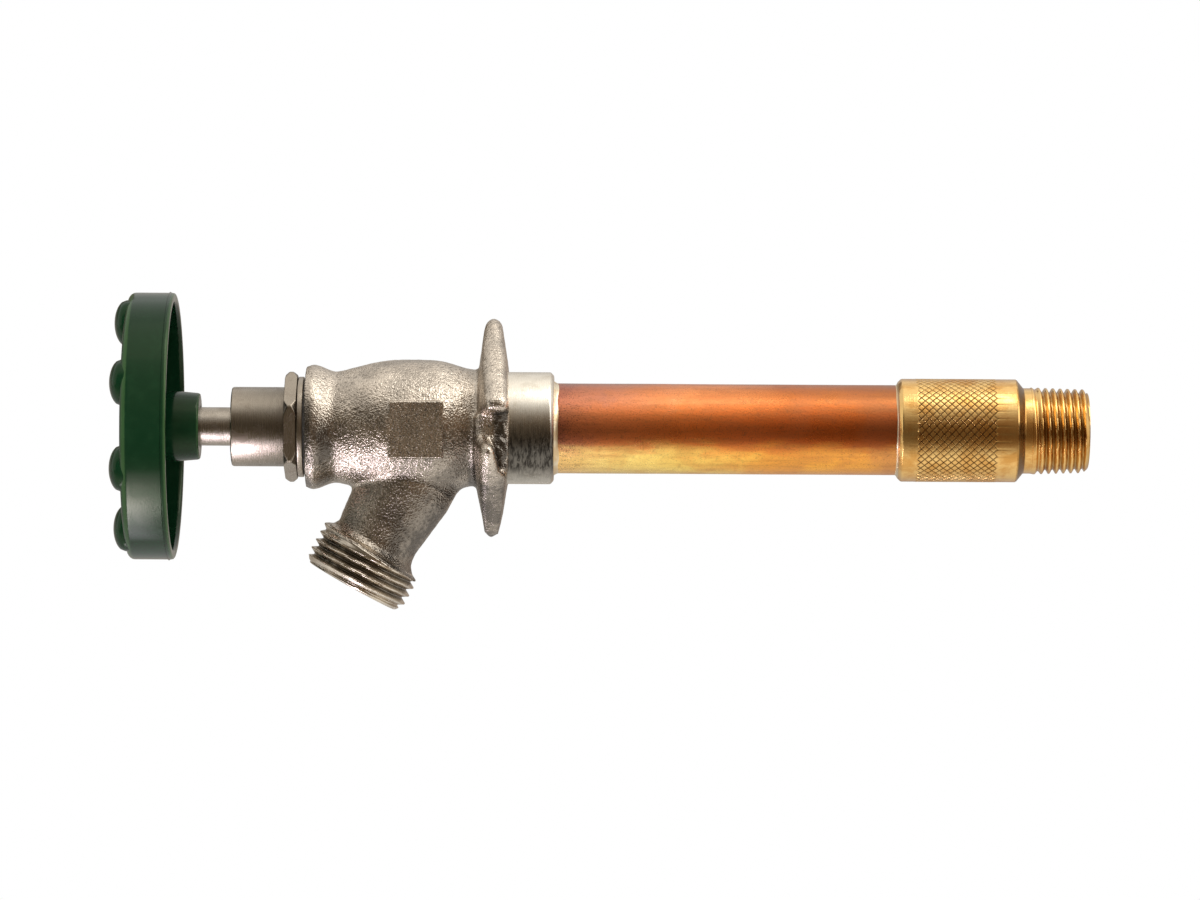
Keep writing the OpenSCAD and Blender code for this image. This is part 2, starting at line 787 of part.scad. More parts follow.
module washer_holder() {
    color("#c9a24a") difference() {
        union() {
            bar(cup_x, cup_end_x, cup_d / 2);
            bar(boss_x, cup_x + past, boss_d / 2);
        }
        for (i = [0 : flute_n - 1])
            rotate([i * 360 / flute_n, 0, 0]) translate([0, 0, cup_d / 2 - flute_depth + flute_d / 2])
                bar(cup_x - past, cup_end_x + past, flute_d / 2);
        bar(washer_x, cup_end_x + past, washer_d / 2 + slip_gap);
        bar(boss_x - past, boss_floor_x, journal_bore_r);
        bar(washer_x - washer_screw_len - end_gap, washer_x + past, washer_hole_r);
        ring(
            ring_mid_x - ring_w / 2 - slip_gap, ring_mid_x + ring_w / 2 + slip_gap,
            journal_bore_r - past, journal_d / 2 + ring_w / 2 + slip_gap
        );
    }
}

module seat_washer() {
    color("#1c1c1e") ring(washer_x, washer_end_x, washer_hole_r, washer_d / 2);
}

module washer_screw() {
    color("#c9a24a") difference() {
        union() {
            bar(washer_x - washer_screw_len, washer_end_x + past, washer_screw_d / 2);
            bar(washer_end_x, washer_end_x + washer_head_h, washer_head_d / 2);
        }
        translate([washer_end_x + washer_head_h / 2, -washer_head_d, -screw_slot / 2])
            cube([washer_head_h, 2 * washer_head_d, screw_slot]);
    }
}

valve_body();
casing_tube();
inlet_fitting();
front_braze_ring();
rear_braze_ring();
packing_nut();
bonnet_gasket();
gland_washer();
stem_packing();
packing_washer();
handwheel();
handle_screw();
screw_washer();
spindle();
stem_o_ring();
stem_rod();
front_rod_pin();
rear_rod_pin();
rod_end();
swivel_ring();
washer_holder();
seat_washer();
washer_screw();
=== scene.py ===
import math

import bpy
import numpy as np
import openvdb
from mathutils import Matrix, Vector, noise


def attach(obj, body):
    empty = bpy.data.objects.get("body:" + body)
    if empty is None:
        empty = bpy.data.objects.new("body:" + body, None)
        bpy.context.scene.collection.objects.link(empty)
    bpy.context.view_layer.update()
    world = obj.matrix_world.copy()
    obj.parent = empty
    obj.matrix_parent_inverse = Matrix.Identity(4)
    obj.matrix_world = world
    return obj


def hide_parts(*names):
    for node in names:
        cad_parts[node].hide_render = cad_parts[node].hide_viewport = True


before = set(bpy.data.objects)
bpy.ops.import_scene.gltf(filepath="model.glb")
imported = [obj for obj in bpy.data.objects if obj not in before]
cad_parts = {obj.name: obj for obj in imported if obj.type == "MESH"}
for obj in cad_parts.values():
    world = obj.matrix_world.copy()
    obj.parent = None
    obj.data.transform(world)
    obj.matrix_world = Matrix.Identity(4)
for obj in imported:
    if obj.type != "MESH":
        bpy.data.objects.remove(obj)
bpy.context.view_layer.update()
print("frame loaded:", len(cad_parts), "nodes")

mm = 0.001  # shapes are written in millimetres and scaled when their mesh is made
fullTurn = 2 * math.pi
core = -60  # turned outlines close well below their axis


# mesh tools

def axisFrom(base, along):
    side = np.array((0.0, -1.0, 0.0))  # turn starts on the near side
    along = np.array(along, float)
    return {"base": np.array(base, float), "along": along, "side": side, "across": np.cross(along, side)}


stemAxis = axisFrom((0, 0, 0), (1, 0, 0))
spoutTilt = math.radians(61)
spoutAxis = axisFrom((-17.5, 0, 0), (-math.cos(spoutTilt), 0, -math.sin(spoutTilt)))


def alongSpout(x, z):
    # place along the spout's axis, and distance from it towards the handle
    down, out, run = spoutAxis["along"], spoutAxis["across"], x - spoutAxis["base"][0]
    return run * down[0] + z * down[2], run * out[0] + z * out[2]


def insideOut(points, faces):
    a, b, c, d = (points[faces[:, i]] for i in range(4))
    return (np.cross(b, c) * a).sum() + (np.cross(c, d) * a).sum() < 0


def newMesh(name, points, faces, material):
    mesh = bpy.data.meshes.new(name)
    mesh.from_pydata(points, [], faces)
    mesh.shade_smooth()
    mesh.materials.append(material)
    piece = bpy.data.objects.new(name, mesh)
    bpy.context.scene.collection.objects.link(piece)
    return piece


def addPiece(name, points, faces, body, material, replaced=(), sharp=40, dirtWearAndPaintedLight=None):
    points, faces = np.asarray(points, float), np.asarray(faces)
    if insideOut(points, faces):
        faces = faces[:, [0, 3, 2, 1]]  # keeps the diagonal that each quad is split on
    piece = newMesh(name, (points * mm).tolist(), faces.tolist(), material)
    if sharp:
        piece.data.set_sharp_from_angle(angle=math.radians(sharp))
    if dirtWearAndPaintedLight is not None:
        values = np.ravel(dirtWearAndPaintedLight).astype(np.float32)
        piece.data.attributes.new("dirtWearAndPaintedLight", "FLOAT", "POINT").data.foreach_set("value", values)
    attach(piece, body)
    if replaced:
        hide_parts(*replaced)
    print("made", name, len(points), "points")


def turns(count):
    return np.arange(count) * fullTurn / count


def polarSkin(places, radii, axis):
    # closed skin: each ring joins the next, and the last joins the first
    rings, count = radii.shape
    turn = turns(count)
    out = np.cos(turn)[:, None] * axis["side"] + np.sin(turn)[:, None] * axis["across"]
    places = np.broadcast_to(places, radii.shape)
    points = axis["base"] + places[..., None] * axis["along"] + radii[..., None] * out
    ring, step = np.meshgrid(np.arange(rings), np.arange(count), indexing="ij")
    nextRing, nextStep = (ring + 1) % rings, (step + 1) % count
    corners = [ring * count + step, ring * count + nextStep, nextRing * count + nextStep, nextRing * count + step]
    return points.reshape(-1, 3), np.stack(corners, -1).reshape(-1, 4)


def softened(corners, steps=4):
    # outline of (place, radius, rounding) corners, each rounding drawn as a short curve
    outline = []
    for i, (x, r, rounding) in enumerate(corners):
        here = np.array((x, r), float)
        before = np.array(corners[i - 1][:2], float) - here
        after = np.array(corners[(i + 1) % len(corners)][:2], float) - here
        if not rounding:
            outline.append(tuple(here))
            continue
        start = here + before / np.linalg.norm(before) * rounding
        end = here + after / np.linalg.norm(after) * rounding
        for t in np.linspace(0, 1, steps):
            outline.append(tuple((1 - t) ** 2 * start + 2 * t * (1 - t) * here + t * t * end))
    return outline


def turnedSkin(corners, axis, count):
    outline = np.array(softened(corners))
    radii = np.repeat(outline[:, 1:], count, axis=1)
    return polarSkin(outline[:, :1], radii, axis)


def threadGroove(places, turn, thread):
    # depth of a right-handed groove, 0 at the crest and 1 at the root, growing over its first part of a turn
    travel = (places - thread["start"]) / thread["pitch"] - turn / fullTurn
    off = np.abs(travel - np.round(travel)) * thread["pitch"]
    flat = thread["pitch"] * thread["crestShare"] / 2
    slope = thread["depth"] * math.tan(math.radians(30))
    begun = np.clip((np.floor(travel) + turn / fullTurn) / thread["fade"], 0, 1)
    return np.clip((off - flat) / slope, 0, 1) * begun


def waves(points, size, seed):
    shift = Vector((seed * 17.3, seed * 5.1, seed * 9.7))
    return np.array([noise.noise(Vector(p) / size + shift) for p in points])


def ramp(value, start, span):
    # 0 up to the start, growing to 1 over the span; a span below 0 runs the other way
    return np.clip((value - start) / span, 0, 1)


# field tools: signed distance in millimetres, negative inside

def outlineField(u, v, corners):
    shape = np.broadcast(u, v).shape
    nearest = np.full(shape, 1e9)
    inside = np.zeros(shape, bool)
    for (ax, ay), (bx, by) in zip(corners, corners[1:] + corners[:1]):
        ex, ey = bx - ax, by - ay
        length = ex * ex + ey * ey
        if length == 0:
            continue
        t = np.clip(((u - ax) * ex + (v - ay) * ey) / length, 0, 1)
        nearest = np.minimum(nearest, (u - ax - ex * t) ** 2 + (v - ay - ey * t) ** 2)
        if ay != by:
            inside ^= ((ay > v) != (by > v)) & (u < ex * (v - ay) / (by - ay) + ax)
    return np.sqrt(nearest) * np.where(inside, -1, 1)


def tableField(along, radius, corners, reach, step=0.12):
    # field of an outline turned about an axis, looked up from a table of (along, radius)
    lowest, highest = float(along.min()), float(along.max())
    alongs = np.arange(lowest, highest + 2 * step, step)
    outs = np.arange(0, reach + 2 * step, step)
    table = outlineField(alongs[:, None], outs[None], corners).astype(np.float32)
    i = (along - lowest) / step
    j = np.minimum(radius, reach) / step
    i0, j0 = i.astype(np.int32), j.astype(np.int32)
    fi, fj = (i - i0).astype(np.float32), (j - j0).astype(np.float32)
    low = table[i0, j0] * (1 - fj) + table[i0, j0 + 1] * fj
    high = table[i0 + 1, j0] * (1 - fj) + table[i0 + 1, j0 + 1] * fj
    return low * (1 - fi) + high * fi


def joined(a, b, fillet):
    both = np.hypot(np.maximum(fillet - a, 0), np.maximum(fillet - b, 0))
    return np.maximum(fillet, np.minimum(a, b)) - both


def without(a, b, edge):
    return -joined(-a, b, edge)


def rodField(along, radius, start, end, r):
    return np.maximum(radius - r, np.maximum(start - along, along - end))


def fieldGrid(low, high, step):
    axes = [np.arange(a, b + step, step, dtype=np.float32) for a, b in zip(low, high)]
    return axes[0][:, None, None], axes[1][None, :, None], axes[2][None, None, :]


def fieldMesh(field, low, step):
    reach = 3 * step
    grid = openvdb.FloatGrid(reach)
    grid.copyFromArray(np.clip(field, -reach, reach).astype(np.float32))
    points, faces = grid.convertToQuads(0.0)[:2]
    return points * step + np.array(low), faces.astype(np.int64)


def eased(a, b, power, steps=10):
    outline = []
    for i in range(steps):
        t = i / steps
        rise = 0.5 - 0.5 * math.cos(math.pi * t ** power)
        outline.append((a[0] + (b[0] - a[0]) * t, a[1] + (b[1] - a[1]) * rise))
    return outline


# shader tools

def put(tree, kind, **values):
    node = tree.nodes.new(kind)
    for key, value in values.items():
        label = key.replace("_", " ")
        if label in node.inputs:
            node.inputs[label].default_value = value
        else:
            setattr(node, key, value)
    return node


def wire(source, target):
    source.id_data.links.new(source, target)  # the tree that both are in


def newGroup(name, takes, gives):
    group = bpy.data.node_groups.new(name, "ShaderNodeTree")
    for label, kind, value in takes:
        socket = group.interface.new_socket(name=label, in_out="INPUT", socket_type="NodeSocket" + kind)
        if value is not None:
            socket.default_value = value
    for label in gives:
        group.interface.new_socket(name=label, in_out="OUTPUT", socket_type="NodeSocketFloat")
    return group, put(group, "NodeGroupInput").outputs, put(group, "NodeGroupOutput").inputs


def placeGroup(group, place, **values):
    node = put(place.id_data, "ShaderNodeGroup")
    node.node_tree = group
    for key, value in values.items():
        node.inputs[key].default_value = value
    wire(place, node.inputs["Place"])
    return node.outputs


def mixed(mask, first, second):
    # colour that goes from first to second with the mask; each is a colour or a socket
    node = put(mask.id_data, "ShaderNodeMix", data_type="RGBA")
    wire(mask, node.inputs[0])
    for socket, value in ((node.inputs[6], first), (node.inputs[7], second)):
        if isinstance(value, tuple):
            socket.default_value = (*value, 1)
        else:
            wire(value, socket)
    return node.outputs[2]


def ranged(source, low, high, newLow=0.0, newHigh=1.0):
    node = put(source.id_data, "ShaderNodeMapRange", interpolation_type="SMOOTHSTEP")
    wire(source, node.inputs["Value"])
    for label, value in (("From Min", low), ("From Max", high), ("To Min", newLow), ("To Max", newHigh)):
        node.inputs[label].default_value = value
    return node.outputs["Result"]


def combined(first, second, operation="ADD"):
    node = put(first.id_data, "ShaderNodeMath", operation=operation)
    for socket, value in zip(node.inputs, (first, second)):
        if isinstance(value, (int, float)):
            socket.default_value = value
        else:
            wire(value, socket)
    return node.outputs[0]


def scaled(value, share):
    return combined(value, share, "MULTIPLY")


def grainGroup():
    # lumps and pits of a rough skin
    takesList = [("Place", "Vector", None), ("Size", "Float", 900.0)]
    group, takes, gives = newGroup("grain", takesList, ["Height", "Pits"])
    coarse = put(group, "ShaderNodeTexNoise", Detail=2.0, Roughness=0.55)
    lumps = put(group, "ShaderNodeTexVoronoi", feature="SMOOTH_F1", Smoothness=0.35)
    for texture, share in ((coarse, 0.8), (lumps, 1.15)):
        wire(takes["Place"], texture.inputs["Vector"])
        wire(scaled(takes["Size"], share), texture.inputs["Scale"])
    raised = scaled(ranged(lumps.outputs["Distance"], 0.75, 0.05), 0.45)
    wire(combined(coarse.outputs["Fac"], raised), gives["Height"])
    wire(ranged(coarse.outputs["Fac"], 0.47, 0.3), gives["Pits"])
    return group


def turningGroup():
    # fine rings left by a lathe, about the X of the place it is given
    takesList = [("Place", "Vector", None), ("Density", "Float", 6000.0)]
    group, takes, gives = newGroup("turning", takesList, ["Height", "Tone"])
    split = put(group, "ShaderNodeSeparateXYZ")
    wire(takes["Place"], split.inputs[0])
    line = put(group, "ShaderNodeTexNoise", noise_dimensions="1D", Scale=1.0, Detail=3.0, Roughness=0.7)
    wire(scaled(split.outputs[0], takes["Density"]), line.inputs["W"])
    wire(line.outputs["Fac"], gives["Height"])
    wire(ranged(line.outputs["Fac"], 0.35, 0.65), gives["Tone"])
    return group


def stainGroup():
    # soft blotches; Cover is the share that they take
    takesList = [("Place", "Vector", None), ("Size", "Float", 120.0), ("Cover", "Float", 0.5)]
    group, takes, gives = newGroup("stain", takesList, ["Mask"])
    blotch = put(group, "ShaderNodeTexNoise", Detail=5.0, Roughness=0.62, Distortion=0.4)
    wire(takes["Place"], blotch.inputs["Vector"])
    wire(takes["Size"], blotch.inputs["Scale"])
    lifted = combined(blotch.outputs["Fac"], takes["Cover"])
    wire(ranged(lifted, 0.86, 1.14), gives["Mask"])
    return group


grain, turning, stain = grainGroup(), turningGroup(), stainGroup()


def grained(place, size):
    gives = placeGroup(grain, place, Size=size)
    return gives["Height"], gives["Pits"]


def lathed(place, density):
    gives = placeGroup(turning, place, Density=density)
    return gives["Height"], gives["Tone"]


def stained(place, size, cover):
    return placeGroup(stain, place, Size=size, Cover=cover)["Mask"]


# mask made with each mesh, for dirt and wear and for painted shade and painted highlights
def dirtAndLightMask(place):
    return put(place.id_data, "ShaderNodeAttribute", attribute_name="dirtWearAndPaintedLight").outputs["Fac"]


def stretched(place, scale, turn=(0, 0, 0)):
    kind = "TEXTURE" if turn != (0, 0, 0) else "POINT"
    node = put(place.id_data, "ShaderNodeMapping", vector_type=kind, Scale=scale, Rotation=turn)
    wire(place, node.inputs["Vector"])
    return node.outputs["Vector"]


def newFinish(name, **sockets):
    # metal, unless its own Metallic is given
    material = bpy.data.materials.new(name)
    material.use_nodes = True
    tree = material.node_tree
    for label, value in {"Metallic": 1.0, **sockets}.items():
        tree.nodes["Principled BSDF"].inputs[label.replace("_", " ")].default_value = value
    return material, put(tree, "ShaderNodeTexCoord").outputs["Object"]


def dressed(material, colour, rough, height, strength, distance):
    tree = material.node_tree
    bump = put(tree, "ShaderNodeBump", Strength=strength, Distance=distance * mm)
    wire(height, bump.inputs["Height"])
    for source, label in ((colour, "Base Color"), (rough, "Roughness"), (bump.outputs["Normal"], "Normal")):
        wire(source, tree.nodes["Principled BSDF"].inputs[label])
    return material


# finishes: wear is the size and cover of its stains, rough goes with the wear, bump is strength and millimetres

castNickel = {
    "plate": (0.645, 0.55, 0.44), "worn": (0.545, 0.46, 0.365), "wear": (85.0, 0.5), "grain": 1900.0,
    "pits": (0.215, 0.178, 0.138), "pitted": 0.85, "dirtWearAndPaintedLight": (0.09, 0.078, 0.065),
    "high": (0.4, 1.0), "rough": (0.33, 0.21), "bump": (0.62, 0.26),
}


def makeCastNickel():
    s = castNickel
    material, place = newFinish("castNickel")
    height, pits = grained(place, s["grain"])
    plate = mixed(stained(place, *s["wear"]), s["plate"], s["worn"])
    plate = mixed(scaled(pits, s["pitted"]), plate, s["pits"])
    # dirt in the pits and on the pad, and painted shade, from the mask made with the mesh
    colour = mixed(dirtAndLightMask(place), plate, s["dirtWearAndPaintedLight"])
    return dressed(material, colour, ranged(height, *s["high"], *s["rough"]), height, *s["bump"])


turnedNickel = {
    "wear": (240.0, 0.42), "grain": 2600.0, "grainShare": 0.45, "dirtWearAndPaintedLight": (0.10, 0.085, 0.066),
    "scoreStretch": (4.0, 1.0, 1.0), "scores": (480.0, 0.5), "scored": 0.85,  # score marks thin the dirt and painted shade
    "rough": (0.2, 0.32), "lineRough": 0.09, "bump": (0.3, 0.055),
}


def makeTurnedNickel(name, lines, plate, worn, dirtWearAndPaintedLight=turnedNickel["dirtWearAndPaintedLight"], turn=(0, 0, 0)):
    s = turnedNickel
    material, place = newFinish(name)
    along = stretched(place, (1, 1, 1), turn)
    rings, tone = lathed(along, lines)
    wear = stained(place, *s["wear"])
    skin = grained(place, s["grain"])[0]
    scores = stained(stretched(along, s["scoreStretch"]), *s["scores"])
    dirtAndShade = scaled(dirtAndLightMask(place), ranged(scores, 0, 1, 1.0, s["scored"]))
    colour = mixed(dirtAndShade, mixed(wear, plate, worn), dirtWearAndPaintedLight)
    rough = combined(ranged(tone, 0, 1, 0.0, s["lineRough"]), ranged(wear, 0, 1, *s["rough"]))
    height = combined(rings, scaled(skin, s["grainShare"]))
    return dressed(material, colour, rough, height, *s["bump"])


drawnCopper = {
    # place along the tube, and its colour on top, at the middle and underneath: along the tube as heat and handling
    # left it, while the darker top and golden underside are painted reflection
    "tints": [
        (0.0104, (0.39, 0.133, 0.085), (0.54, 0.175, 0.098), (0.95, 0.61, 0.21)),
        (0.022, (0.52, 0.20, 0.115), (0.86, 0.25, 0.08), (0.98, 0.70, 0.21)),
        (0.042, (0.82, 0.29, 0.095), (1.0, 0.25, 0.048), (0.98, 0.67, 0.15)),
        (0.066, (0.53, 0.157, 0.04), (0.86, 0.19, 0.036), (1.0, 0.46, 0.064)),
        (0.084, (0.46, 0.15, 0.041), (0.66, 0.155, 0.03), (0.87, 0.38, 0.068)),
        (0.0952, (0.37, 0.13, 0.04), (0.54, 0.135, 0.033), (0.74, 0.35, 0.09)),
    ],
    "topFade": (0.0072, 0.0022), "underFade": (-0.002, -0.0076), "drift": 0.003, "waver": 0.0008,
    "drawn": (330.0, 0.5), "drawnStretch": (0.2, 1.0, 1.0),
    # stretch, size and cover, strength and colour of clouds, which also shift the tints, of streaks and of spots
    "stains": [
        ((1.0, 1.0, 1.0), (95.0, 0.5), 0.32, (0.50, 0.155, 0.06)),
        ((0.12, 1.0, 1.0), (700.0, 0.44), 0.27, (0.30, 0.11, 0.04)),
        ((1.0, 1.0, 1.0), (520.0, 0.31), 0.5, (0.17, 0.10, 0.045)),
    ],
    "specks": 4200.0, "scorchColour": (0.09, 0.045, 0.03), "scorchFade": (0.021, 0.0118), "scorched": (0.36, 0.95),
    "grain": 2100.0, "grainStretch": (0.6, 1.0, 1.0), "rough": (0.27, 0.35), "bump": (0.2, 0.09),
}


def makeDrawnCopper():
    s, tints = drawnCopper, drawnCopper["tints"]
    first, last = tints[0][0], tints[-1][0]
    material, place = newFinish("drawnCopper")
    tree = material.node_tree
    split = put(tree, "ShaderNodeSeparateXYZ")
    wire(place, split.inputs[0])
    x, z = split.outputs[0], split.outputs[2]
    drawn = stained(stretched(place, s["drawnStretch"]), *s["drawn"])
    masks = [stained(stretched(place, stretch), *size) for stretch, size, share, tint in s["stains"]]
    clouds = masks[0]
    skin = grained(stretched(place, s["grainStretch"]), s["grain"])[0]
    specks = grained(place, s["specks"])[1]
    scorch = scaled(ranged(x, *s["scorchFade"], *s["scorched"]), specks)
    along = put(tree, "ShaderNodeMapRange", From_Min=first, From_Max=last)
    wire(combined(x, ranged(clouds, 0, 1, -s["drift"], s["drift"])), along.inputs["Value"])
    bands = []
    for side in (1, 2, 3):
        band = put(tree, "ShaderNodeValToRGB")
        wire(along.outputs["Result"], band.inputs["Fac"])
        stops = band.color_ramp.elements
        while len(stops) < len(tints):
            stops.new(0.5)
        for stop, tint in zip(stops, tints):
            stop.position = (tint[0] - first) / (last - first)
            stop.color = (*tint[side], 1)
        bands.append(band.outputs["Color"])
    level = combined(z, ranged(drawn, 0, 1, -s["waver"], s["waver"]))
    # painted reflection: darker on top, golden underneath
    colour = mixed(ranged(level, *s["topFade"]), bands[0], bands[1])
    colour = mixed(ranged(level, *s["underFade"]), colour, bands[2])
    for mask, (stretch, size, share, tint) in zip(masks, s["stains"]):
        colour = mixed(scaled(mask, share), colour, tint)
    colour = mixed(scorch, colour, s["scorchColour"])
    return dressed(material, colour, ranged(clouds, 0, 1, *s["rough"]), skin, *s["bump"])


wornFinishes = {
    "turnedBrass": {
        "colour": (0.77, 0.48, 0.17), "worn": (0.60, 0.30, 0.075), "wear": (150.0, 0.46), "rough": (0.16, 0.26),
        "dirtWearAndPaintedLight": (0.125, 0.062, 0.016), "lines": 4300.0, "grain": 1700.0, "grainShare": 0.8, "bump": (0.25, 0.06),
    },
    "brazeFiller": {
        "colour": (0.80, 0.69, 0.50), "worn": (0.66, 0.48, 0.27), "wear": (200.0, 0.5), "rough": (0.3, 0.42),
        "grain": 700.0, "bump": (0.3, 0.12),
    },
    "greenPlastic": {
        "colour": (0.0034, 0.0225, 0.0085), "worn": (0.0052, 0.0275, 0.0106), "wear": (210.0, 0.42),
        # its lighter green is for rubbed edges and painted edge highlights
        "rough": (0.13, 0.2), "dirtWearAndPaintedLight": (0.075, 0.155, 0.055), "grain": 2300.0, "bump": (0.10, 0.05),
        "sockets": {"Metallic": 0.0, "Specular_IOR_Level": 0.2, "Specular_Tint": (1.0, 1.0, 0.66, 1)},
    },
    "plainSteel": {
        "colour": (0.60, 0.59, 0.57), "worn": (0.42, 0.41, 0.39), "wear": (300.0, 0.45), "rough": (0.24, 0.38),
        "lines": 5200.0, "bump": (0.2, 0.04),
    },
}


def makeWorn(kind, **changes):
    s = {**wornFinishes[kind], "name": kind, **changes}
    material, place = newFinish(s["name"], **s.get("sockets", {}))
    wear = stained(place, *s["wear"])
    colour = mixed(wear, s["colour"], s["worn"])
    if "dirtWearAndPaintedLight" in s:
        colour = mixed(dirtAndLightMask(place), colour, s["dirtWearAndPaintedLight"])
    heights = []
    if "lines" in s:
        heights.append(lathed(place, s["lines"])[0])
    if "grain" in s:
        skin = grained(place, s["grain"])[0]
        heights.append(scaled(skin, s["grainShare"]) if "grainShare" in s else skin)
    height = combined(*heights) if len(heights) > 1 else heights[0]
    return dressed(material, colour, ranged(wear, 0, 1, *s["rough"]), height, *s["bump"])


softBlack = {"high": (0.4, 1.0), "rough": (0.6, 0.8), "bump": (0.3, 0.08), "shine": 0.35}


def makeSoftBlack(name, colour, dusty, size):
    s = softBlack
    material, place = newFinish(name, Metallic=0.0, Specular_IOR_Level=s["shine"])
    height, pits = grained(place, size)
    rough = ranged(height, *s["high"], *s["rough"])
    return dressed(material, mixed(pits, colour, dusty), rough, height, *s["bump"])


castFinish = makeCastNickel()
nutFinish = makeTurnedNickel("nutNickel", 5200.0, (0.35, 0.295, 0.228), (0.295, 0.24, 0.183))
# the collar's dark colour is for its painted reflection band
collarFinish = makeTurnedNickel(
    "collarNickel", 5200.0, (0.76, 0.685, 0.565), (0.60, 0.525, 0.415), dirtWearAndPaintedLight=(0.036, 0.031, 0.025))
threadFinish = makeTurnedNickel(
    "threadNickel", 4200.0, (0.60, 0.523, 0.42), (0.45, 0.38, 0.30), turn=(0, -spoutTilt, 0))
stemFinish = makeTurnedNickel("brightNickel", 7000.0, (0.37, 0.318, 0.255), (0.31, 0.262, 0.205))
copperFinish = makeDrawnCopper()
brassFinish = makeWorn("turnedBrass")
innerBrass = makeWorn(
    "turnedBrass", name="innerBrass", colour=(0.72, 0.48, 0.17), worn=(0.50, 0.31, 0.10), lines=3000.0)
brazeFinish, wheelFinish, steelFinish = makeWorn("brazeFiller"), makeWorn("greenPlastic"), makeWorn("plainSteel")
rubberFinish = makeSoftBlack("blackRubber", (0.022, 0.022, 0.023), (0.045, 0.044, 0.043), 1900.0)
fibreFinish = makeSoftBlack("darkFibre", (0.035, 0.031, 0.027), (0.075, 0.066, 0.056), 1300.0)
print("finishes ready")


# casting: body, spout neck and wall flange in one rough skin

casting = {
    "step": 0.455, "low": (-52.0, -32.6, -46.6), "high": (1.4, 32.6, 28.6),
    "face": (-50.7, 14.9), "bead": (-49.1, 15.4), "waist": (-43.2, 13.7),
    "belly": (-24.9, 16.8), "bellyRise": 0.65, "root": (-9.1, 14.4), "bellyFall": 1.8, "rootEnd": -2.0,
    "padX": (-29.8, -16.8), "padZ": (-7.5, 6.5), "padFace": -16.25, "padBase": -2.0,
    "neck": [(0, core), (0, 12.0), (16.8, 12.0)], "neckShift": 0.65, "shiftFade": (34.2, -4.0),
    "flareEnd": 35.2, "flareTilt": 0.07,
    "flare": [(-4.0, 10.25), (-2.3, 10.35), (-0.9, 11.5), (-0.1, 13.3), (0.2, 13.3), (0.6, 11.6)],  # from its end
    "stub": [(43.2, 11.6), (43.2, core)],  # inside the hose thread
    "spoutFillet": 1.1, "flangeFillet": 0.8, "padFillet": 0.25,
    "stemBores": [(-60, -40.3, 10.6), (-41, -28, 6.45), (-28.3, -8, 10.5), (-8.5, 20, 11.25)],  # from, to, radius
    "spoutBores": [(0, 60, 7.3), (32.4, 60, 8.4)],
    "grain": [(0.06, 0.95, 1), (0.12, 5.5, 2)],  # rise, size, seed
}
flange = {
    "height": 54.0, "width": 62.0, "edge": 5.4, "root": 7.9, "rootRadius": 14.2, "bow": 2.4, "proud": 0.4,
    "tipRadius": 8.0, "earRadius": 11.0, "rounding": 2.1, "tipCrisp": 1.3, "crispFade": (-15, -6),
    "notch": 7.2, "notchPitch": 43.0, "mouth": 10.5, "mouthPast": 3, "lobeRounding": 2.8,
    "hollow": [
        (-14.0, -1.2), (-6.9, -1.3), (-5.2, -2.6), (-4.2, -5.0),
        (-2.9, -10.4), (0.4, -12.0), (0.4, 3.0), (-14.0, 3.0),
    ],
    "hollowRounding": 1.5, "ledge": 0.9, "ledgeFade": (3.6, -1), "ledgeEnd": (-22, 12),
    "sweep": 0.035, "sweepFrom": -9, "sweepOver": 20,
    "tipCuts": [((-7.0, -25.2), (-0.718, -0.696)), ((-5.1, -27.1), (0.455, -0.89))],
}
castDirtAndShade = {  # a fade is the place where it starts and the distance over which it grows
    "boreRadius": 12.6, "pits": 5, "pitsFrom": 0.02, "pitsMost": 0.3, "most": 0.9,
    "underFade": (3, -7), "bodyRadius": 18,
    "waist": 0.98, "waistAt": -45.6, "waistHalf": 3.3, "waistFade": (-13, 6), "waistLeast": 0.45,
    "belly": 0.43, "bellyFade": (-31, 7), "bellyEnd": -7.5,
    "face": 0.45, "faceFade": (-48.9, -0.8), "faceTop": (9, -5),
    "tip": 0.52, "tipFade": (-8, -7), "tipFrom": -10.5, "tipFront": 0.12, "frontFade": (-4.5, -1.5),
    "neck": 0.15, "neckFade": (12.5, 5), "neckRadius": 13, "neckEnd": -9, "neckRear": 0.5, "rearFade": (3, -8),
    "pad": 0.12, "padPits": 1.8, "padSide": -10,
    "notch": 0.92, "notchIn": (16.5, 1), "notchOut": (26, -4), "notchTop": (5.2, -1.4), "notchFoot": (-11, 1.4),
    "notchFront": (-5.0, 1.2), "notchGrain": [(0.5, 1.6, 6), (0.35, 1.05, 7)],  # rise, size, seed
}


def arcPoints(centre, radius, start, end, steps=10):
    angles = np.linspace(start, end, steps + 1)
    return [(centre[0] + radius * math.cos(a), centre[1] + radius * math.sin(a)) for a in angles]


def flangePlan(z, y):
    f = flange
    tip = f["height"] / 2 - f["tipRadius"]
    ear = f["width"] / 2 - f["earRadius"]
    turn = math.atan2(ear, -tip) - math.acos((f["tipRadius"] - f["earRadius"]) / math.hypot(tip, ear))
    lozenge = arcPoints((tip, 0), f["tipRadius"], -turn, turn)
    lozenge += arcPoints((0, ear), f["earRadius"], turn, math.pi - turn)
    lozenge += arcPoints((-tip, 0), f["tipRadius"], math.pi - turn, math.pi + turn)
    lozenge += arcPoints((0, -ear), f["earRadius"], math.pi + turn, fullTurn - turn)
    half, mouth, reach = f["notch"] / 2, f["mouth"] / 2, f["width"] / 2 + f["mouthPast"]
    flare = f["width"] / 2 - f["earRadius"] / 2
    notch = arcPoints((0, f["notchPitch"] / 2), half, math.pi, fullTurn)
    notch += [(half, flare), (mouth, reach), (-mouth, reach), (-half, flare)]
    return without(outlineField(z, y, lozenge), outlineField(z, np.abs(y), notch), f["lobeRounding"])


def padSquare(x, z):
    (left, right), (foot, top) = casting["padX"], casting["padZ"]
    return np.maximum(np.maximum(left - x, x - right), np.maximum(foot - z, z - top))


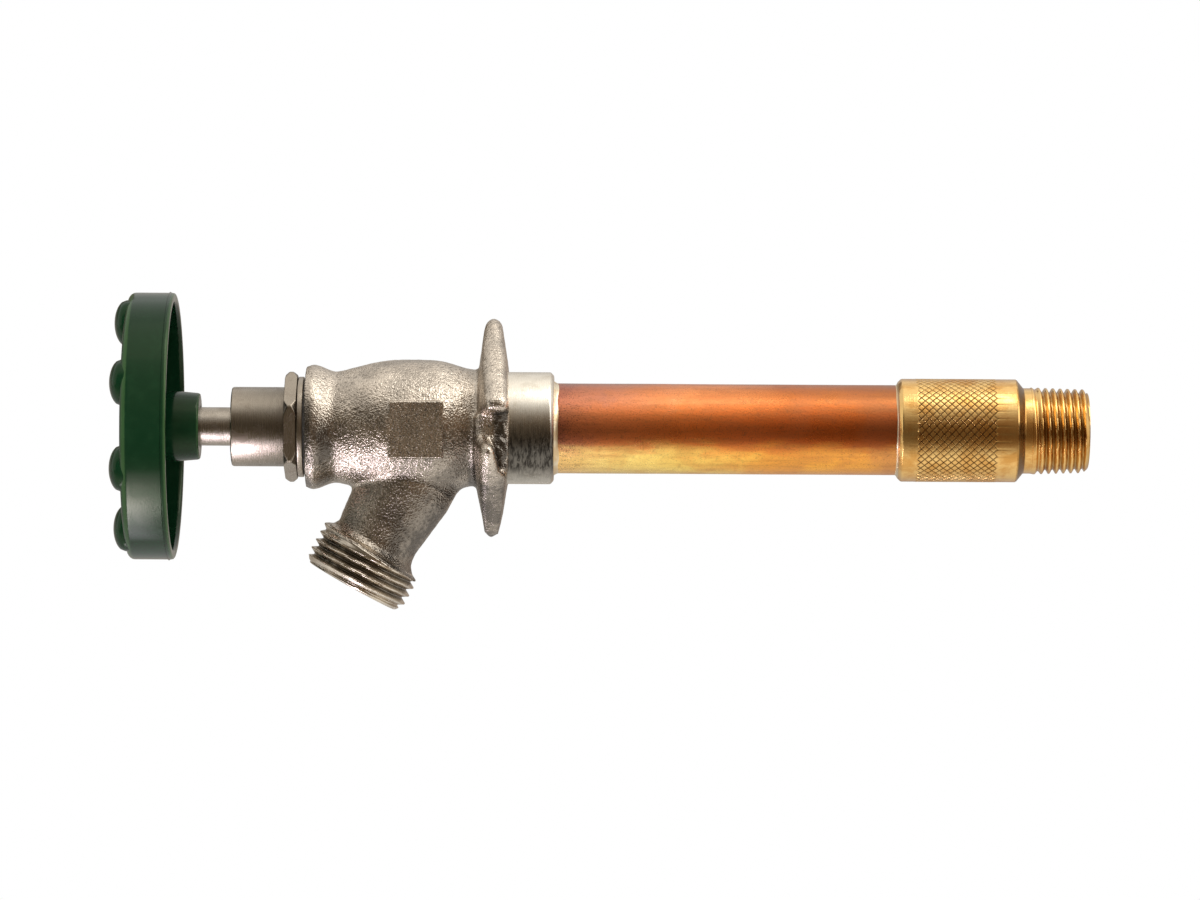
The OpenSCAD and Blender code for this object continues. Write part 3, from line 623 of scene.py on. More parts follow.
def castingShape():
    c, f = casting, flange
    x, y, z = fieldGrid(c["low"], c["high"], c["step"])
    radius = np.sqrt(y * y + z * z) + 0 * x
    along = x + 0 * radius
    outline = [(c["face"][0], core)]
    outline += eased(c["face"], c["bead"], 1) + eased(c["bead"], c["waist"], 1)
    outline += eased(c["waist"], c["belly"], c["bellyRise"]) + eased(c["belly"], c["root"], c["bellyFall"])
    outline += [c["root"], (c["rootEnd"], c["root"][1]), (c["rootEnd"], core)]
    body = tableField(along, radius, outline, reach=46)
    # plain flat square on the near flank
    square = padSquare(x, z)
    pad = np.maximum(np.maximum(square, y - c["padBase"]), c["padFace"] - y)
    overPad = np.maximum(square, y - c["padFace"])
    # spout neck, a little off the thread's axis as cast
    deep, aside = alongSpout(x, z)
    deep = deep + 0 * y
    shift = c["neckShift"] * ramp(deep, *c["shiftFade"])
    neckRadius = np.sqrt((aside - shift) ** 2 + y * y)
    neck = c["neck"] + [(c["flareEnd"] + place, r) for place, r in c["flare"]] + c["stub"]
    spout = tableField(deep + c["flareTilt"] * aside, neckRadius, neck, reach=60)
    # flange, bowed at the back and drafted at the front
    half = f["height"] / 2
    bowRadius = (half * half + f["bow"] ** 2) / (2 * f["bow"])
    back = -f["proud"] - (bowRadius - np.sqrt(bowRadius ** 2 - z * z))
    back = back - f["sweep"] * np.clip(f["sweepFrom"] - z, 0, f["sweepOver"])
    slope = (f["root"] - f["edge"]) / (f["width"] / 2 - f["rootRadius"])
    front = -f["proud"] - f["edge"] - slope * (f["width"] / 2 - radius)
    # step at the mould's parting line, dying out towards the lower tip
    front = front - f["ledge"] * ramp(z, *f["ledgeFade"]) * ramp(z, *f["ledgeEnd"])
    thick = np.maximum((front - x) / math.hypot(1, slope), x - back)
    e = f["rounding"] - f["tipCrisp"] * ramp(z, *f["crispFade"])
    a, b = flangePlan(z, y) + e, thick + e
    plate = np.minimum(np.maximum(a, b), 0) + np.hypot(np.maximum(a, 0), np.maximum(b, 0)) - e
    # each screw notch is hollowed further below, at the back
    hollow = np.maximum(outlineField(x, z, f["hollow"]), f["notchPitch"] / 2 - f["notch"] / 2 - np.abs(y))
    plate = without(plate, hollow, f["hollowRounding"])
    for place, way in f["tipCuts"]:  # lower tip, cut to a point
        plate = np.maximum(plate, (x - place[0]) * way[0] + (z - place[1]) * way[1])
    field = joined(body, spout, c["spoutFillet"])
    field = joined(field, plate, c["flangeFillet"])
    field = np.maximum(joined(field, pad, c["padFillet"]), -overPad)
    # waterways
    for bore in c["stemBores"]:
        field = np.maximum(field, -rodField(x, radius, *bore))
    for bore in c["spoutBores"]:
        field = np.maximum(field, -rodField(deep, np.sqrt(aside ** 2 + y * y), *bore))
    return fieldMesh(field, c["low"], c["step"])


def vertexNormals(points, faces):
    a, b, c, d = (points[faces[:, i]] for i in range(4))
    across = np.cross(c - a, d - b)
    normals = np.zeros_like(points)
    for i in range(4):
        np.add.at(normals, faces[:, i], across)
    return normals / np.maximum(np.linalg.norm(normals, axis=1, keepdims=True), 1e-9)


def grainRise(points, grains):
    return sum(rise * waves(points, size, seed) for rise, size, seed in grains)


def makeCasting():
    d = castDirtAndShade
    points, faces = castingShape()
    normals = vertexNormals(points, faces)
    if insideOut(points, faces):
        normals = -normals
    x, y, z = points.T
    outer = np.hypot(y, z) > d["boreRadius"]  # bores stay smooth
    inNotch = ramp(abs(y), *d["notchIn"]) * ramp(abs(y), *d["notchOut"])
    inNotch *= ramp(z, *d["notchTop"]) * ramp(z, *d["notchFoot"]) * ramp(x, *d["notchFront"])
    rise = grainRise(points, casting["grain"]) + inNotch * grainRise(points, d["notchGrain"])
    points = points + normals * (rise * outer)[:, None]
    dirtWearAndPaintedLight = np.clip((d["pitsFrom"] - rise) * d["pits"], 0, d["pitsMost"]) * outer
    # painted shade under the belly: in the waist, and in front of the flange
    under = ramp(z, *d["underFade"]) * (np.hypot(y, z) < d["bodyRadius"])
    waist = d["waist"] * np.exp(-((x - d["waistAt"]) / d["waistHalf"]) ** 2)
    dirtWearAndPaintedLight += under * waist * np.maximum(ramp(z, *d["waistFade"]), d["waistLeast"])
    dirtWearAndPaintedLight += under * d["belly"] * ramp(x, *d["bellyFade"]) * (x < d["bellyEnd"])
    # painted shade on the front face, the flange's lower tip and the neck
    dirtWearAndPaintedLight += d["face"] * ramp(x, *d["faceFade"]) * ramp(z, *d["faceTop"]) * outer
    dirtWearAndPaintedLight += (d["tip"] + d["tipFront"] * ramp(x, *d["frontFade"])) * ramp(z, *d["tipFade"]) * (x > d["tipFrom"])
    deep, aside = alongSpout(x, z)
    onNeck = ramp(deep, *d["neckFade"]) * (abs(aside) < d["neckRadius"]) * (x < d["neckEnd"])
    dirtWearAndPaintedLight += (d["neck"] + d["neckRear"] * ramp(aside, *d["rearFade"])) * onNeck
    onPad = (padSquare(x, z) < 0) & (y < d["padSide"])
    dirtWearAndPaintedLight = np.where(onPad, d["pad"] + d["padPits"] * rise, dirtWearAndPaintedLight)
    # painted shade deep in the screw notches
    dirtWearAndPaintedLight = np.maximum(d["notch"] * inNotch, np.clip(dirtWearAndPaintedLight, 0, d["most"]))
    addPiece("castBody", points, faces, "casing", castFinish, ["valve_body"], sharp=0, dirtWearAndPaintedLight=dirtWearAndPaintedLight)


makeCasting()


# skin of either thread

def threadSkin(thread, skin, axis):
    # cuts along the thread, then the inside; skin gives the radius before the end is chamfered
    turn = turns(thread["count"])[None]
    cut = np.arange(thread["from"], thread["end"] - 0.05, thread["pitch"] / thread["steps"])[:, None]
    groove = threadGroove(cut, turn, thread)
    least, slope = thread["chamfer"]
    radii = np.minimum(skin(thread, cut, turn, groove), least + (thread["end"] - cut) * slope)
    inner = softened(thread["inside"])
    places = np.vstack([cut] + [[[x]] for x, r in inner])
    radii = np.vstack([radii] + [np.full((1, thread["count"]), r) for x, r in inner])
    dirtWearAndPaintedLight = np.zeros_like(radii)  # painted shade and dirt lie low in the groove
    dirtWearAndPaintedLight[: len(cut)] = thread["dirtAndShade"] * np.clip(groove * 1.3 - 0.3, 0, 1) * ramp(cut, *thread["darkFadeEnd"])
    return *polarSkin(places, radii, axis), dirtWearAndPaintedLight


# hose thread, with the spout's mouth and bore

hoseThread = {
    "start": 34.1, "pitch": 2.209, "depth": 1.44, "crest": 13.49, "crestShare": 0.125, "fade": 0.35,
    "from": 33.9, "end": 44.8, "steps": 14, "count": 176, "chamfer": (12.05, 0.72),  # radius at the end, slope
    "inside": [(44.8, 12.0, 0.12), (44.8, 8.0, 0.35), (33.9, 8.0, 0)],
    "flare": (13.2, 1.6),  # radius where the neck's flare ends, slope
    "dirtAndShade": 0.85, "darkFadeEnd": (43.6, -1.5),
}


def hoseRadius(t, cut, turn, groove):
    radius, slope = t["flare"]
    flareEnd = casting["flareEnd"] - casting["flareTilt"] * t["crest"] * np.sin(turn)
    return np.minimum(t["crest"], radius + (cut - flareEnd) * slope) - t["depth"] * groove


points, faces, dirtWearAndPaintedLight = threadSkin(hoseThread, hoseRadius, spoutAxis)
addPiece("hoseThread", points, faces, "casing", threadFinish, ["valve_body"], 50, dirtWearAndPaintedLight)


# turned collar behind the flange

landCollar = {
    "corners": [
        (-2.2, 13.83, 0), (9.6, 13.83, 0.35), (10.4, 12.9, 0.3), (10.4, 11.17, 0), (-2.2, 11.17, 0),
    ],
    "count": 192, "shadeBandTurn": 0.5, "shadeBandHalf": 0.75, "shadeBandPeak": 1.35,
}
points, faces = turnedSkin(landCollar["corners"], stemAxis, landCollar["count"])
# painted reflection: a dark band round the collar, just below its near side
low = np.arctan2(-points[:, 2], -points[:, 1])  # 0 on the near side, growing downwards
off = abs(low - landCollar["shadeBandTurn"]) / landCollar["shadeBandHalf"]
collarShadeBand = np.clip(landCollar["shadeBandPeak"] - off, 0, 1)
addPiece("landCollar", points, faces, "casing", collarFinish, ["valve_body"], dirtWearAndPaintedLight=collarShadeBand)


# packing nut: round sleeve, hexagon, neck and shank

packingNut = {
    "count": 288, "front": -69.1, "hexFront": -55.9, "hexBack": -52.8, "neckBack": -51.3, "end": -41.6,
    "sleeve": 9.8, "sleeveRound": 0.65, "flats": 24.0, "cornerRadius": 13.72, "hexTurn": math.radians(21.5),
    "faceRound": 12.75, "faceInset": 0.2, "chamferSlope": 0.9, "hexCuts": 15, "firstCut": 0.12, "bevelDarkening": 0.6,
    "neck": 12.4, "neckChamfer": (0.25, 0.6), "shank": 10.5, "bore": 4.82, "packing": 7.75, "packingFrom": -46.3,
}


def makePackingNut():
    n = packingNut
    wedge = (turns(n["count"]) + n["hexTurn"]) % (fullTurn / 6) - fullTurn / 12  # from the middle of a flat
    hexagon = np.minimum(n["flats"] / 2 / np.cos(wedge), n["cornerRadius"])
    hexFace = np.minimum(hexagon, n["faceRound"]) - n["faceInset"]
    rings = []

    def plain(corners):
        for x, r in softened(corners):
            rings.append((x, np.full(n["count"], r)))

    plain([(n["front"], n["bore"], 0), (n["front"], n["sleeve"], n["sleeveRound"]), (n["hexFront"], n["sleeve"], 0)])
    rings.append((n["hexFront"], hexFace))
    for x in np.linspace(n["hexFront"] + n["firstCut"], n["hexBack"] - n["firstCut"], n["hexCuts"]):
        inset = min(x - n["hexFront"], n["hexBack"] - x)
        rings.append((x, np.minimum(hexagon, n["faceRound"] + inset * n["chamferSlope"])))
    rings.append((n["hexBack"], hexFace))
    run, drop = n["neckChamfer"]
    plain([
        (n["hexBack"], n["neck"] - drop, 0), (n["hexBack"] + run, n["neck"], 0.1), (n["neckBack"], n["neck"], 0.2),
        (n["neckBack"], n["shank"], 0), (n["end"], n["shank"], 0.3), (n["end"], n["packing"], 0.1),
        (n["packingFrom"], n["packing"], 0), (n["packingFrom"], n["bore"], 0),
    ])
    places = np.array([[x] for x, r in rings])
    radii = np.array([r for x, r in rings])
    onHexagon = (places > n["hexFront"] - 0.05) & (places < n["hexBack"] + 0.05)
    # darker on the hexagon's chamfers
    dirtAndShade = n["bevelDarkening"] * (onHexagon & (radii < hexagon - 0.06))
    points, faces = polarSkin(places, radii, stemAxis)
    addPiece("packingNut", points, faces, "casing", nutFinish, ["packing_nut"], 28, dirtAndShade)


makePackingNut()


# copper tube, very slightly uneven

copperTube = {
    "from": -6.0, "to": 108.0, "outside": 11.1125, "wall": 1.14, "count": 160, "rings": 76,
    "unevenness": 0.03, "dentSize": 13.0, "dentSeed": 3, "proudest": 0.02,
}


def makeCopperTube():
    t = copperTube
    cut = np.linspace(t["from"], t["to"], t["rings"])
    radii = np.full((t["rings"], t["count"]), t["outside"])
    even = polarSkin(cut[:, None], radii, stemAxis)[0]
    dent = waves(even, t["dentSize"], t["dentSeed"]).reshape(radii.shape) * t["unevenness"]
    inside = np.full((2, t["count"]), t["outside"] - t["wall"])
    radii = np.vstack([radii + np.minimum(dent, t["proudest"]), inside])
    places = np.concatenate([cut, [t["to"], t["from"]]])[:, None]
    points, faces = polarSkin(places, radii, stemAxis)
    addPiece("copperTube", points, faces, "casing", copperFinish, ["casing_tube"])


makeCopperTube()


# braze fillets where the tube enters the collar and the inlet

brazeRings = {
    "frontBraze": {"node": "front_braze_ring", "mouth": 10.4, "way": 1, "rise": 0.55, "leg": 1.1, "seed": 4},
    "rearBraze": {"node": "rear_braze_ring", "mouth": 95.2, "way": -1, "rise": 0.65, "leg": 0.55, "seed": 5},
}
brazeShape = {
    "count": 192, "tube": 11.12, "cuts": 8, "hollow": 1.7, "waves": 2.2, "seedStep": 3.7,
    "legWobble": 0.4, "riseWobble": 0.25, "undercut": 0.9, "sunk": 0.1, "behind": 0.3,
}


def makeBraze(name, ring):
    s = brazeShape
    count, tube, mouth, way = s["count"], s["tube"], ring["mouth"], ring["way"]
    around = [Vector((math.cos(a), math.sin(a), 0)) for a in turns(count)]
    shift = Vector((0, 0, ring["seed"] * s["seedStep"]))
    wobble = np.array([noise.noise(v * s["waves"] + shift) for v in around])
    leg = ring["leg"] * (1 + s["legWobble"] * wobble)
    rise = ring["rise"] * (1 + s["riseWobble"] * wobble)
    behind, sunk = np.full(count, mouth - way * s["behind"]), np.full(count, tube - s["sunk"])
    places, radii = [], []
    for t in np.linspace(0, 1, s["cuts"]):  # hollow curve from the mouth down to the tube
        places.append(mouth + way * leg * t)
        radii.append(tube + rise * (1 - t) ** s["hollow"])
    places += [mouth + way * leg * s["undercut"], behind, behind]
    radii += [sunk, sunk, tube + rise]
    points, faces = polarSkin(np.array(places), np.array(radii), stemAxis)
    addPiece(name, points, faces, "casing", brazeFinish, [ring["node"]])


for name, ring in brazeRings.items():
    makeBraze(name, ring)


# inlet: knurled barrel and neck

knurledBarrel = {
    "count": 546, "cells": 42, "cell": 1.86, "steps": 13, "bandFrom": 99.6, "bandTo": 119.3, "bandGap": 0.2,
    "radius": 12.7, "proud": 0.03, "groove": 0.24, "share": 0.092, "fadeFrom": 0.25, "fadeOver": 0.6,
    "mouth": [(95.2, 11.17, 0), (95.2, 11.85, 0.1), (96.05, 12.7, 0.3)], "shoulder": (124.4, 12.7, 0.25),
    "chamfer": [(124.6, 12.5, 0), (126.1, 10.65, 0)], "neck": [(126.3, 10.55, 0), (128.1, 10.55, 0)],
    "inside": [
        (128.1, 6.9, 0), (121.4, 6.9, 0), (121.4, 5.6, 0), (116.4, 5.6, 0), (116.4, 6.5, 0),
        (117.4, 7.5, 0), (117.4, 9.0, 0), (108.0, 9.0, 0), (108.0, 11.17, 0),
    ],
    "grooveDirtAndShade": 1.9, "chamferShade": 0.85,
}


def makeKnurledBarrel():
    k = knurledBarrel
    around = turns(k["count"]) * k["cells"] / fullTurn
    rings = []

    def plain(corners, dirtAndShade=0.0):
        for x, r in softened(corners):
            rings.append((x, np.full(k["count"], r), np.full(k["count"], dirtAndShade)))

    plain(k["mouth"] + [(k["bandFrom"] - k["bandGap"], k["radius"], 0)])
    bandRing = len(rings)
    for x in np.arange(k["bandFrom"], k["bandTo"], k["cell"] / k["steps"]):
        along = (x - k["bandFrom"]) / k["cell"]
        crossing = (along + around, along - around)
        lines = np.maximum(*(np.clip(1 - np.abs(u - np.round(u)) / k["share"], 0, 1) for u in crossing))
        fade = min(1.0, k["fadeFrom"] + min(x - k["bandFrom"], k["bandTo"] - x) / k["fadeOver"])
        # dirt and painted shade in the grooves
        dirtAndShade = np.clip(k["grooveDirtAndShade"] * lines, 0, 1) * fade
        rings.append((x, k["radius"] + k["proud"] - k["groove"] * lines * fade, dirtAndShade))
    plain([(k["bandTo"] + k["bandGap"], k["radius"], 0), k["shoulder"]])
    # painted shade on the chamfer
    plain(k["chamfer"], k["chamferShade"])
    plain(k["neck"] + k["inside"])
    places, radii, dirtWearAndPaintedLight = (np.array(column) for column in zip(*rings))
    points, faces = polarSkin(places[:, None], radii, stemAxis)
    ring, step = np.divmod(np.arange(len(faces)), k["count"])
    crossed = (ring - bandRing + step + 1) % k["steps"] == 0
    faces = np.where(crossed[:, None], np.roll(faces, -1, axis=1), faces)
    addPiece("knurledBarrel", points, faces, "casing", brassFinish, ["inlet_fitting"], 22, dirtWearAndPaintedLight)


makeKnurledBarrel()


# inlet: tapered pipe thread with its solder socket

pipeThread = {
    "start": 126.736, "pitch": 1.814, "depth": 1.05, "crest": 10.75, "crestShare": 0.2, "fade": 1.8, "taper": 1 / 32,
    "from": 127.7, "end": 142.2, "steps": 14, "count": 176, "chamfer": (9.25, 0.95),  # radius at the end, slope
    "inside": [(142.2, 9.2, 0.12), (142.2, 7.98, 0.4), (129.5, 7.98, 0), (129.5, 6.95, 0), (127.7, 6.95, 0)],
    "neckEnd": 128.0, "neckRadius": 10.3,  # starts inside the neck
    "dirtAndShade": 0.45, "darkFadeEnd": (142.2, -0.05),
}


def pipeRadius(t, cut, turn, groove):
    crest = t["crest"] - t["taper"] * (cut - t["from"])
    return np.where(cut < t["neckEnd"], t["neckRadius"], crest - t["depth"] * groove)


points, faces, dirtWearAndPaintedLight = threadSkin(pipeThread, pipeRadius, stemAxis)
addPiece("pipeThread", points, faces, "casing", brassFinish, ["inlet_fitting"], 50, dirtWearAndPaintedLight)


# handwheel: rim with grip domes, spokes and hub, moulded in one

gripWheel = {
    "step": 0.4, "low": (-98.6, -34.4, -34.4), "high": (-76.0, 34.4, 34.4),
    "front": -94.4, "back": -83.2, "rim": 32.95, "skirt": 2.4, "face": 3.0, "gap": 21.4, "frontRound": 1.5, "soft": 0.6,
    "spokeHalf": 4.5, "spokeFront": -93.6, "spokeBack": -89.1, "spokeReach": 1.6, "spokeFillet": 1.6,
    "hubRadius": 8.75, "hubEnd": 8.2, "hubBack": -77.0,
    "recess": (-120, -92.75, 5.8), "recessEdge": 0.4, "seat": (-80.0, 0, 4.82), "seatEdge": 0.3,  # from, to, radius
    "lipWearAndHighlight": 0.6, "lipFade": (-83.85, 0.5), "lipFrom": (31.4, 1.0),
    "rimWearAndHighlight": 0.35, "rimFade": (32.2, 0.5), "rimBack": 1.4,
    "hubWearAndHighlight": 0.45, "hubFade": (-77.5, 0.4), "hubFrom": 7.7,
}


def gripWheelShape():
    w = gripWheel
    x, y, z = fieldGrid(w["low"], w["high"], w["step"])
    radius = np.sqrt(y * y + z * z) + 0 * x
    along = x + 0 * radius
    e = w["soft"]
    bend = w["frontRound"] - e
    front, rim = w["front"] + e, w["rim"] - e
    outline = [(front, w["gap"] + e)]
    for a in np.linspace(0, math.pi / 2, 7):
        outline.append((front + bend * (1 - math.cos(a)), rim - bend * (1 - math.sin(a))))
    outline += [(w["back"] - e, rim), (w["back"] - e, w["rim"] - w["skirt"] + e)]
    outline += [(w["front"] + w["face"] - e, w["rim"] - w["skirt"] + e), (w["front"] + w["face"] - e, w["gap"] + e)]
    field = tableField(along, radius, outline, reach=50) - e
    hub = [(w["front"], core), (w["front"], w["hubRadius"]), (w["back"], w["hubRadius"])]
    hub += [(w["hubBack"], w["hubEnd"]), (w["hubBack"], core)]
    for u in (y, z):
        sides = np.maximum(np.abs(u) - w["spokeHalf"] + e, np.maximum(w["spokeFront"] + e - x, x - w["spokeBack"] + e))
        bar = np.maximum(sides, radius - w["gap"] - w["spokeReach"]) - e
        field = joined(field, bar, w["spokeFillet"])
    field = joined(field, tableField(along, radius, hub, reach=50), w["spokeFillet"])
    field = without(field, rodField(x, radius, *w["recess"]), w["recessEdge"])
    field = without(field, rodField(x, radius, *w["seat"]), w["seatEdge"])
    return fieldMesh(field, w["low"], w["step"])


def makeGripWheel():
    w = gripWheel
    points, faces = gripWheelShape()
    x, across = points[:, 0], np.hypot(points[:, 1], points[:, 2])
    # lighter rubbed edges on the rim's back lip, the rim's front edge and the hub's end: wear and painted edge
    # highlights
    rubbedAndHighlit = w["lipWearAndHighlight"] * ramp(x, *w["lipFade"]) * ramp(across, *w["lipFrom"])
    rubbedAndHighlit += w["rimWearAndHighlight"] * ramp(across, *w["rimFade"]) * (x > w["front"]) * (x < w["front"] + w["rimBack"])
    rubbedAndHighlit += w["hubWearAndHighlight"] * ramp(x, *w["hubFade"]) * (across > w["hubFrom"])
    addPiece("gripWheel", points, faces, "stem", wheelFinish, ["handwheel"], sharp=0, dirtWearAndPaintedLight=rubbedAndHighlit)


makeGripWheel()

# grip domes on the rim's front
gripDomes = {"count": 8, "ring": 27.2, "base": 5.65, "rise": 2.98, "sunk": 2.6, "cuts": 24}


def makeGripDomes():
    d = gripDomes
    u, v = np.meshgrid(np.linspace(-1, 1, d["cuts"] + 1), np.linspace(-1, 1, d["cuts"] + 1), indexing="ij")
    across, up = (u * np.sqrt(1 - v * v / 2)).ravel(), (v * np.sqrt(1 - u * u / 2)).ravel()
    high = np.sqrt(np.clip(1 - across ** 2 - up ** 2, 0, 1))
    size, wide = len(across), d["cuts"] + 1
    spot = np.arange(size).reshape(wide, wide)
    grid = np.stack([spot[:-1, :-1], spot[1:, :-1], spot[1:, 1:], spot[:-1, 1:]], -1).reshape(-1, 4)
    edge = np.concatenate([spot[0, :-1], spot[:-1, -1], spot[-1, :0:-1], spot[:0:-1, 0]])
    after = np.roll(edge, -1)
    skirt = np.stack([edge, after, after + size, edge + size], -1)
    one = np.vstack([grid, grid[:, ::-1] + size, skirt])
    points, faces = [], []
    for i in range(d["count"]):
        a = (i + 0.5) * fullTurn / d["count"]
        y, z = d["ring"] * math.sin(a) + d["base"] * across, d["ring"] * math.cos(a) + d["base"] * up
        points += [np.stack([gripWheel["front"] - d["rise"] * high, y, z], -1),
                   np.stack([np.full(size, gripWheel["front"] + d["sunk"]), y, z], -1)]
        faces.append(one + i * 2 * size)
    addPiece("gripDomes", np.vstack(points), np.vstack(faces), "stem", wheelFinish, ["handwheel"])


makeGripDomes()

# thin flash at the mould's parting line, round the rim
rimFlash = {"corners": [(-84.62, 32.7, 0), (-84.45, 33.19, 0.04), (-84.3, 32.7, 0)], "count": 256}
points, faces = turnedSkin(rimFlash["corners"], stemAxis, rimFlash["count"])
addPiece("rimFlash", points, faces, "stem", wheelFinish)


# finishes of the solids that stay as they are

solidFinishes = [
    (stemFinish, ["spindle"]),
    (innerBrass, ["stem_rod", "rod_end", "washer_holder", "washer_screw", "gland_washer", "packing_washer"]),
    (steelFinish, ["handle_screw", "screw_washer", "front_rod_pin", "rear_rod_pin", "swivel_ring"]),
    (rubberFinish, ["seat_washer", "stem_o_ring"]),
    (fibreFinish, ["bonnet_gasket", "stem_packing"]),
]
for finish, names in solidFinishes:
    for name in names:
        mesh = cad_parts[name].data
        mesh.materials.clear()
        mesh.materials.append(finish)
print("solids finished")


# camera, stage and light

view = {"place": (0.0218, -1.4, -0.0053), "lens": 170.0, "sensor": 36.0, "roll": -0.0056}
camera = bpy.data.objects.new("camera", bpy.data.cameras.new("camera"))
camera.data.lens, camera.data.sensor_width = view["lens"], view["sensor"]
camera.location = view["place"]
camera.rotation_euler = (math.pi / 2, view["roll"], 0)
bpy.context.scene.collection.objects.link(camera)
bpy.context.scene.camera = camera

stage = {
    "floor": -0.2, "half": 2.0, "near": -2.0, "far": 1.0, "floorColour": (0.9, 0.9, 0.89, 1), "floorRough": 0.9,
    "whiteNear": 0.88, "whiteFade": (0.35, 0.95), "ambient": (0.45, 0.45, 0.45),
}


def showsWhite(tree):
    # 1 for rays that should meet the white background
    path = put(tree, "ShaderNodeLightPath")
    seen = combined(path.outputs["Is Camera Ray"], path.outputs["Is Glossy Ray"], "MAXIMUM")
    return combined(seen, path.outputs["Is Transmission Ray"], "MAXIMUM")


def stageMesh(name, points, faces, material):
    piece = newMesh(name, points, faces, material)
    return piece


def makeFloor():
    s = stage
    material, place = newFinish(
        "paleFloor", Metallic=0.0, Base_Color=s["floorColour"], Roughness=s["floorRough"])
    tree = material.node_tree
    glow = put(tree, "ShaderNodeEmission", Color=(1, 1, 1, 1), Strength=1.0)
    blend = put(tree, "ShaderNodeMixShader")
    away = put(tree, "ShaderNodeVectorMath", operation="LENGTH")
    wire(place, away.inputs[0])
    plain = ranged(away.outputs["Value"], *s["whiteFade"], s["whiteNear"], 1.0)
    wire(scaled(showsWhite(tree), plain), blend.inputs[0])
    wire(tree.nodes["Principled BSDF"].outputs[0], blend.inputs[1])
    wire(glow.outputs[0], blend.inputs[2])
    wire(blend.outputs[0], tree.nodes["Material Output"].inputs["Surface"])
    w, near, far, z = s["half"], s["near"], s["far"], s["floor"]
    stageMesh("floor", [(-w, near, z), (w, near, z), (w, far, z), (-w, far, z)], [(0, 1, 2, 3)], material)


def makeWorld():
    world = bpy.data.worlds.new("studio")
    bpy.context.scene.world = world
    world.use_nodes = True
    tree = world.node_tree
    back = tree.nodes["Background"]
    wire(mixed(showsWhite(tree), stage["ambient"], (1.0, 1.0, 1.0)), back.inputs["Color"])
    back.inputs["Strength"].default_value = 1.0


# grey card out of sight, folded round the part, which metal mirrors as its darker bands
card = {
    "columns": [
        (-1.6, 1.0), (-0.217, 1.0), (-0.198, 1.0), (-0.13, 1.0), (-0.123, 18.0),
        (-0.105, 18.0), (-0.099, 1.0), (0.1, 1.0), (0.16, 1.0), (1.6, 1.0),
    ],  # place, glow low down
    "far": 0.9, "low": 0.19, "steepest": -89.5, "glowAt": -68, "glowHalf": 33,
    "shadeFrom": -0.2, "shade": 0.7, "shadeFade": (58, -22),
    "front": [
        (58, 1.0), (48, 0.88), (36, 0.6), (22, 0.33), (8, 0.19), (-12, 0.14), (-26, 0.2),
        (-36, 0.36), (-46, 0.66), (-56, 1.0), (-68, 1.2), (-80, 1.15), (-90, 1.0),
    ],  # degrees above level, tone
    "back": [(-70, 0.9), (-45, 0.7), (-20, 0.5), (0, 0.45), (20, 0.6), (40, 0.85)],
    "warmFade": (0.7, -0.5), "warmGreen": 0.17, "warmBlue": 0.38,
    "brownFade": (0.1, 0.06), "brownGreen": 0.2, "brownBlue": 0.26,  # browner towards the inlet
    "rosyFrom": 2, "rosyRed": 0.07, "rosyBlue": 0.26,
}


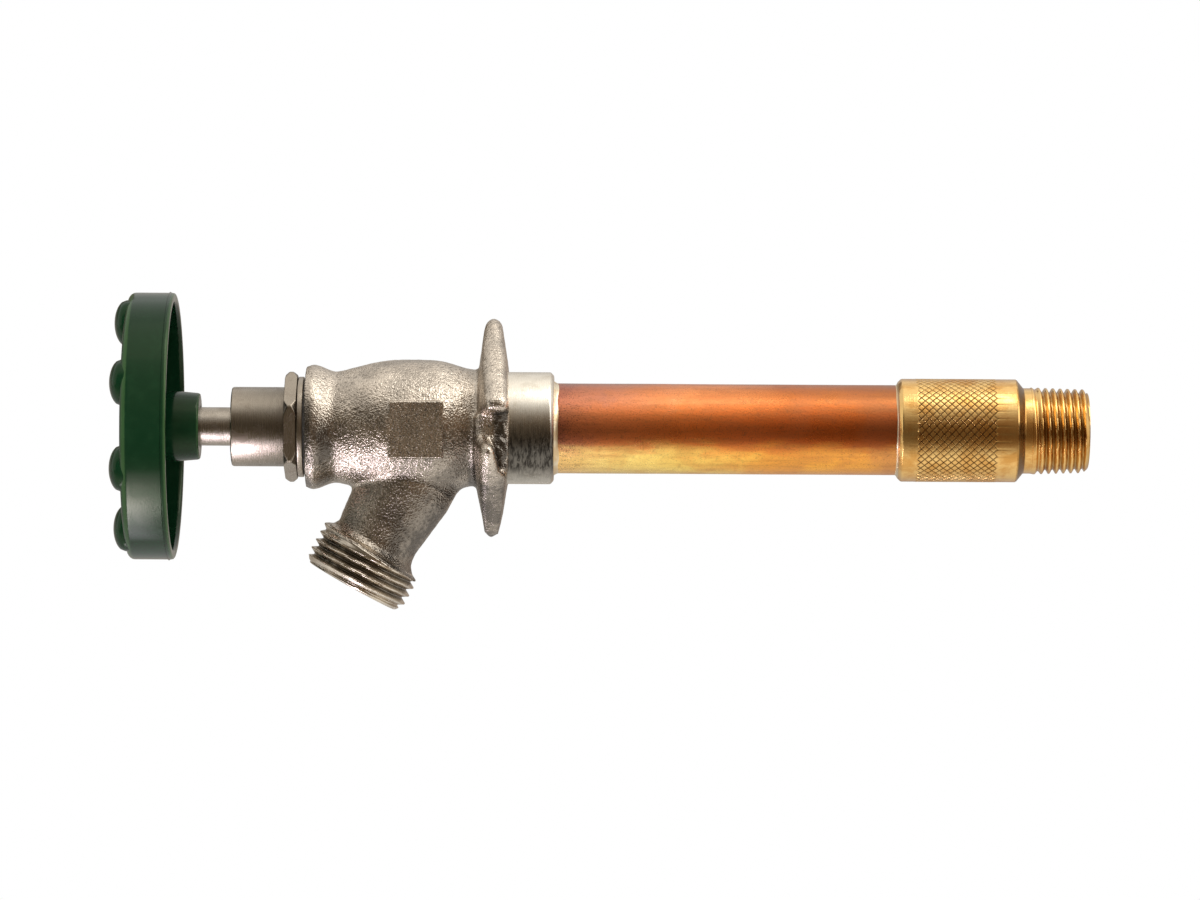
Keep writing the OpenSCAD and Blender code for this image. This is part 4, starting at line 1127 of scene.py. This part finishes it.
def makeCard():
    c = card
    material = bpy.data.materials.new("greyCard")
    material.use_nodes = True
    tree = material.node_tree
    tree.nodes.remove(tree.nodes["Principled BSDF"])
    glow = put(tree, "ShaderNodeEmission", Strength=1.0)
    wire(put(tree, "ShaderNodeAttribute", attribute_name="tone").outputs["Color"], glow.inputs["Color"])
    wire(glow.outputs[0], tree.nodes["Material Output"].inputs["Surface"])
    points, tones = [], []
    for side, fold in ((-1, c["front"]), (1, c["back"])):
        for degrees, tone in fold:
            rise = math.tan(math.radians(max(degrees, c["steepest"])))
            out = min(c["far"], c["low"] / -rise) if rise < 0 else c["far"]
            peak = max(0, 1 - abs(degrees - c["glowAt"]) / c["glowHalf"]) if side < 0 else 0
            shade = c["shade"] * ramp(degrees, *c["shadeFade"]) if degrees > 0 else 0
            for x, glowing in c["columns"]:
                points.append((x, side * out, out * rise))
                dimmed = tone * (1 - shade) if x < c["shadeFrom"] else tone
                tones.append(dimmed * (1 + (glowing - 1) * peak))
    wide = len(c["columns"])
    faces = [(i, i + 1, i + wide + 1, i + wide) for i in range(len(points) - wide) if i % wide < wide - 1]
    piece = stageMesh("greyCard", points, faces, material)
    tones = np.array(tones)
    warm, rosy = ramp(tones, *c["warmFade"]), tones > c["rosyFrom"]
    brown = ramp(np.array(points)[:, 0], *c["brownFade"])
    red = tones * (1 + c["rosyRed"] * rosy)
    green = tones * (1 - warm * (c["warmGreen"] + c["brownGreen"] * brown))
    blue = tones * (1 - warm * (c["warmBlue"] + c["brownBlue"] * brown)) * (1 + c["rosyBlue"] * rosy)
    colours = np.stack([red, green, blue, np.ones(len(tones))], -1)
    piece.data.attributes.new("tone", "FLOAT_COLOR", "POINT").data.foreach_set("color", colours.ravel())
    piece.visible_camera = piece.visible_diffuse = piece.visible_shadow = piece.visible_transmission = False


# a mirrored lamp shows in the metal and lights nothing, the others the other way round
lamps = {
    "topPanel": {
        "place": (0.375, -0.2, 1.1), "size": (1.45, 1.5), "watts": 2.2, "colour": (1.0, 0.985, 0.96), "mirrored": True,
    },
    "sidePanel": {
        "place": (0.62, -0.33, 0.72), "size": (0.55, 1.3), "watts": 6.2, "colour": (0.96, 1.0, 1.03), "mirrored": True,
    },
    "topFill": {
        "place": (-0.1, -0.1, 1.0), "size": (1.2, 0.9), "watts": 3.6, "colour": (1.0, 0.99, 0.97), "mirrored": False,
    },
    "frontPanel": {
        "place": (-0.2, -1.3, 0.35), "size": (0.9, 0.8), "watts": 13.0, "colour": (1.0, 0.99, 0.98), "mirrored": False,
    },
}


def makeLamp(name, lamp):
    light = bpy.data.lights.new(name, "AREA")
    light.shape = "RECTANGLE"
    light.size, light.size_y = lamp["size"]
    light.energy = lamp["watts"]
    light.color = lamp["colour"]
    piece = bpy.data.objects.new(name, light)
    piece.location = lamp["place"]
    piece.visible_glossy = lamp["mirrored"]
    piece.visible_diffuse = not lamp["mirrored"]
    piece.visible_camera = False
    piece.rotation_euler = (-Vector(lamp["place"])).to_track_quat("-Z", "Y").to_euler()
    bpy.context.scene.collection.objects.link(piece)


makeFloor()
makeWorld()
makeCard()
for name, lamp in lamps.items():
    makeLamp(name, lamp)
bpy.context.scene.view_settings.view_transform = "Standard"
print("stage ready")
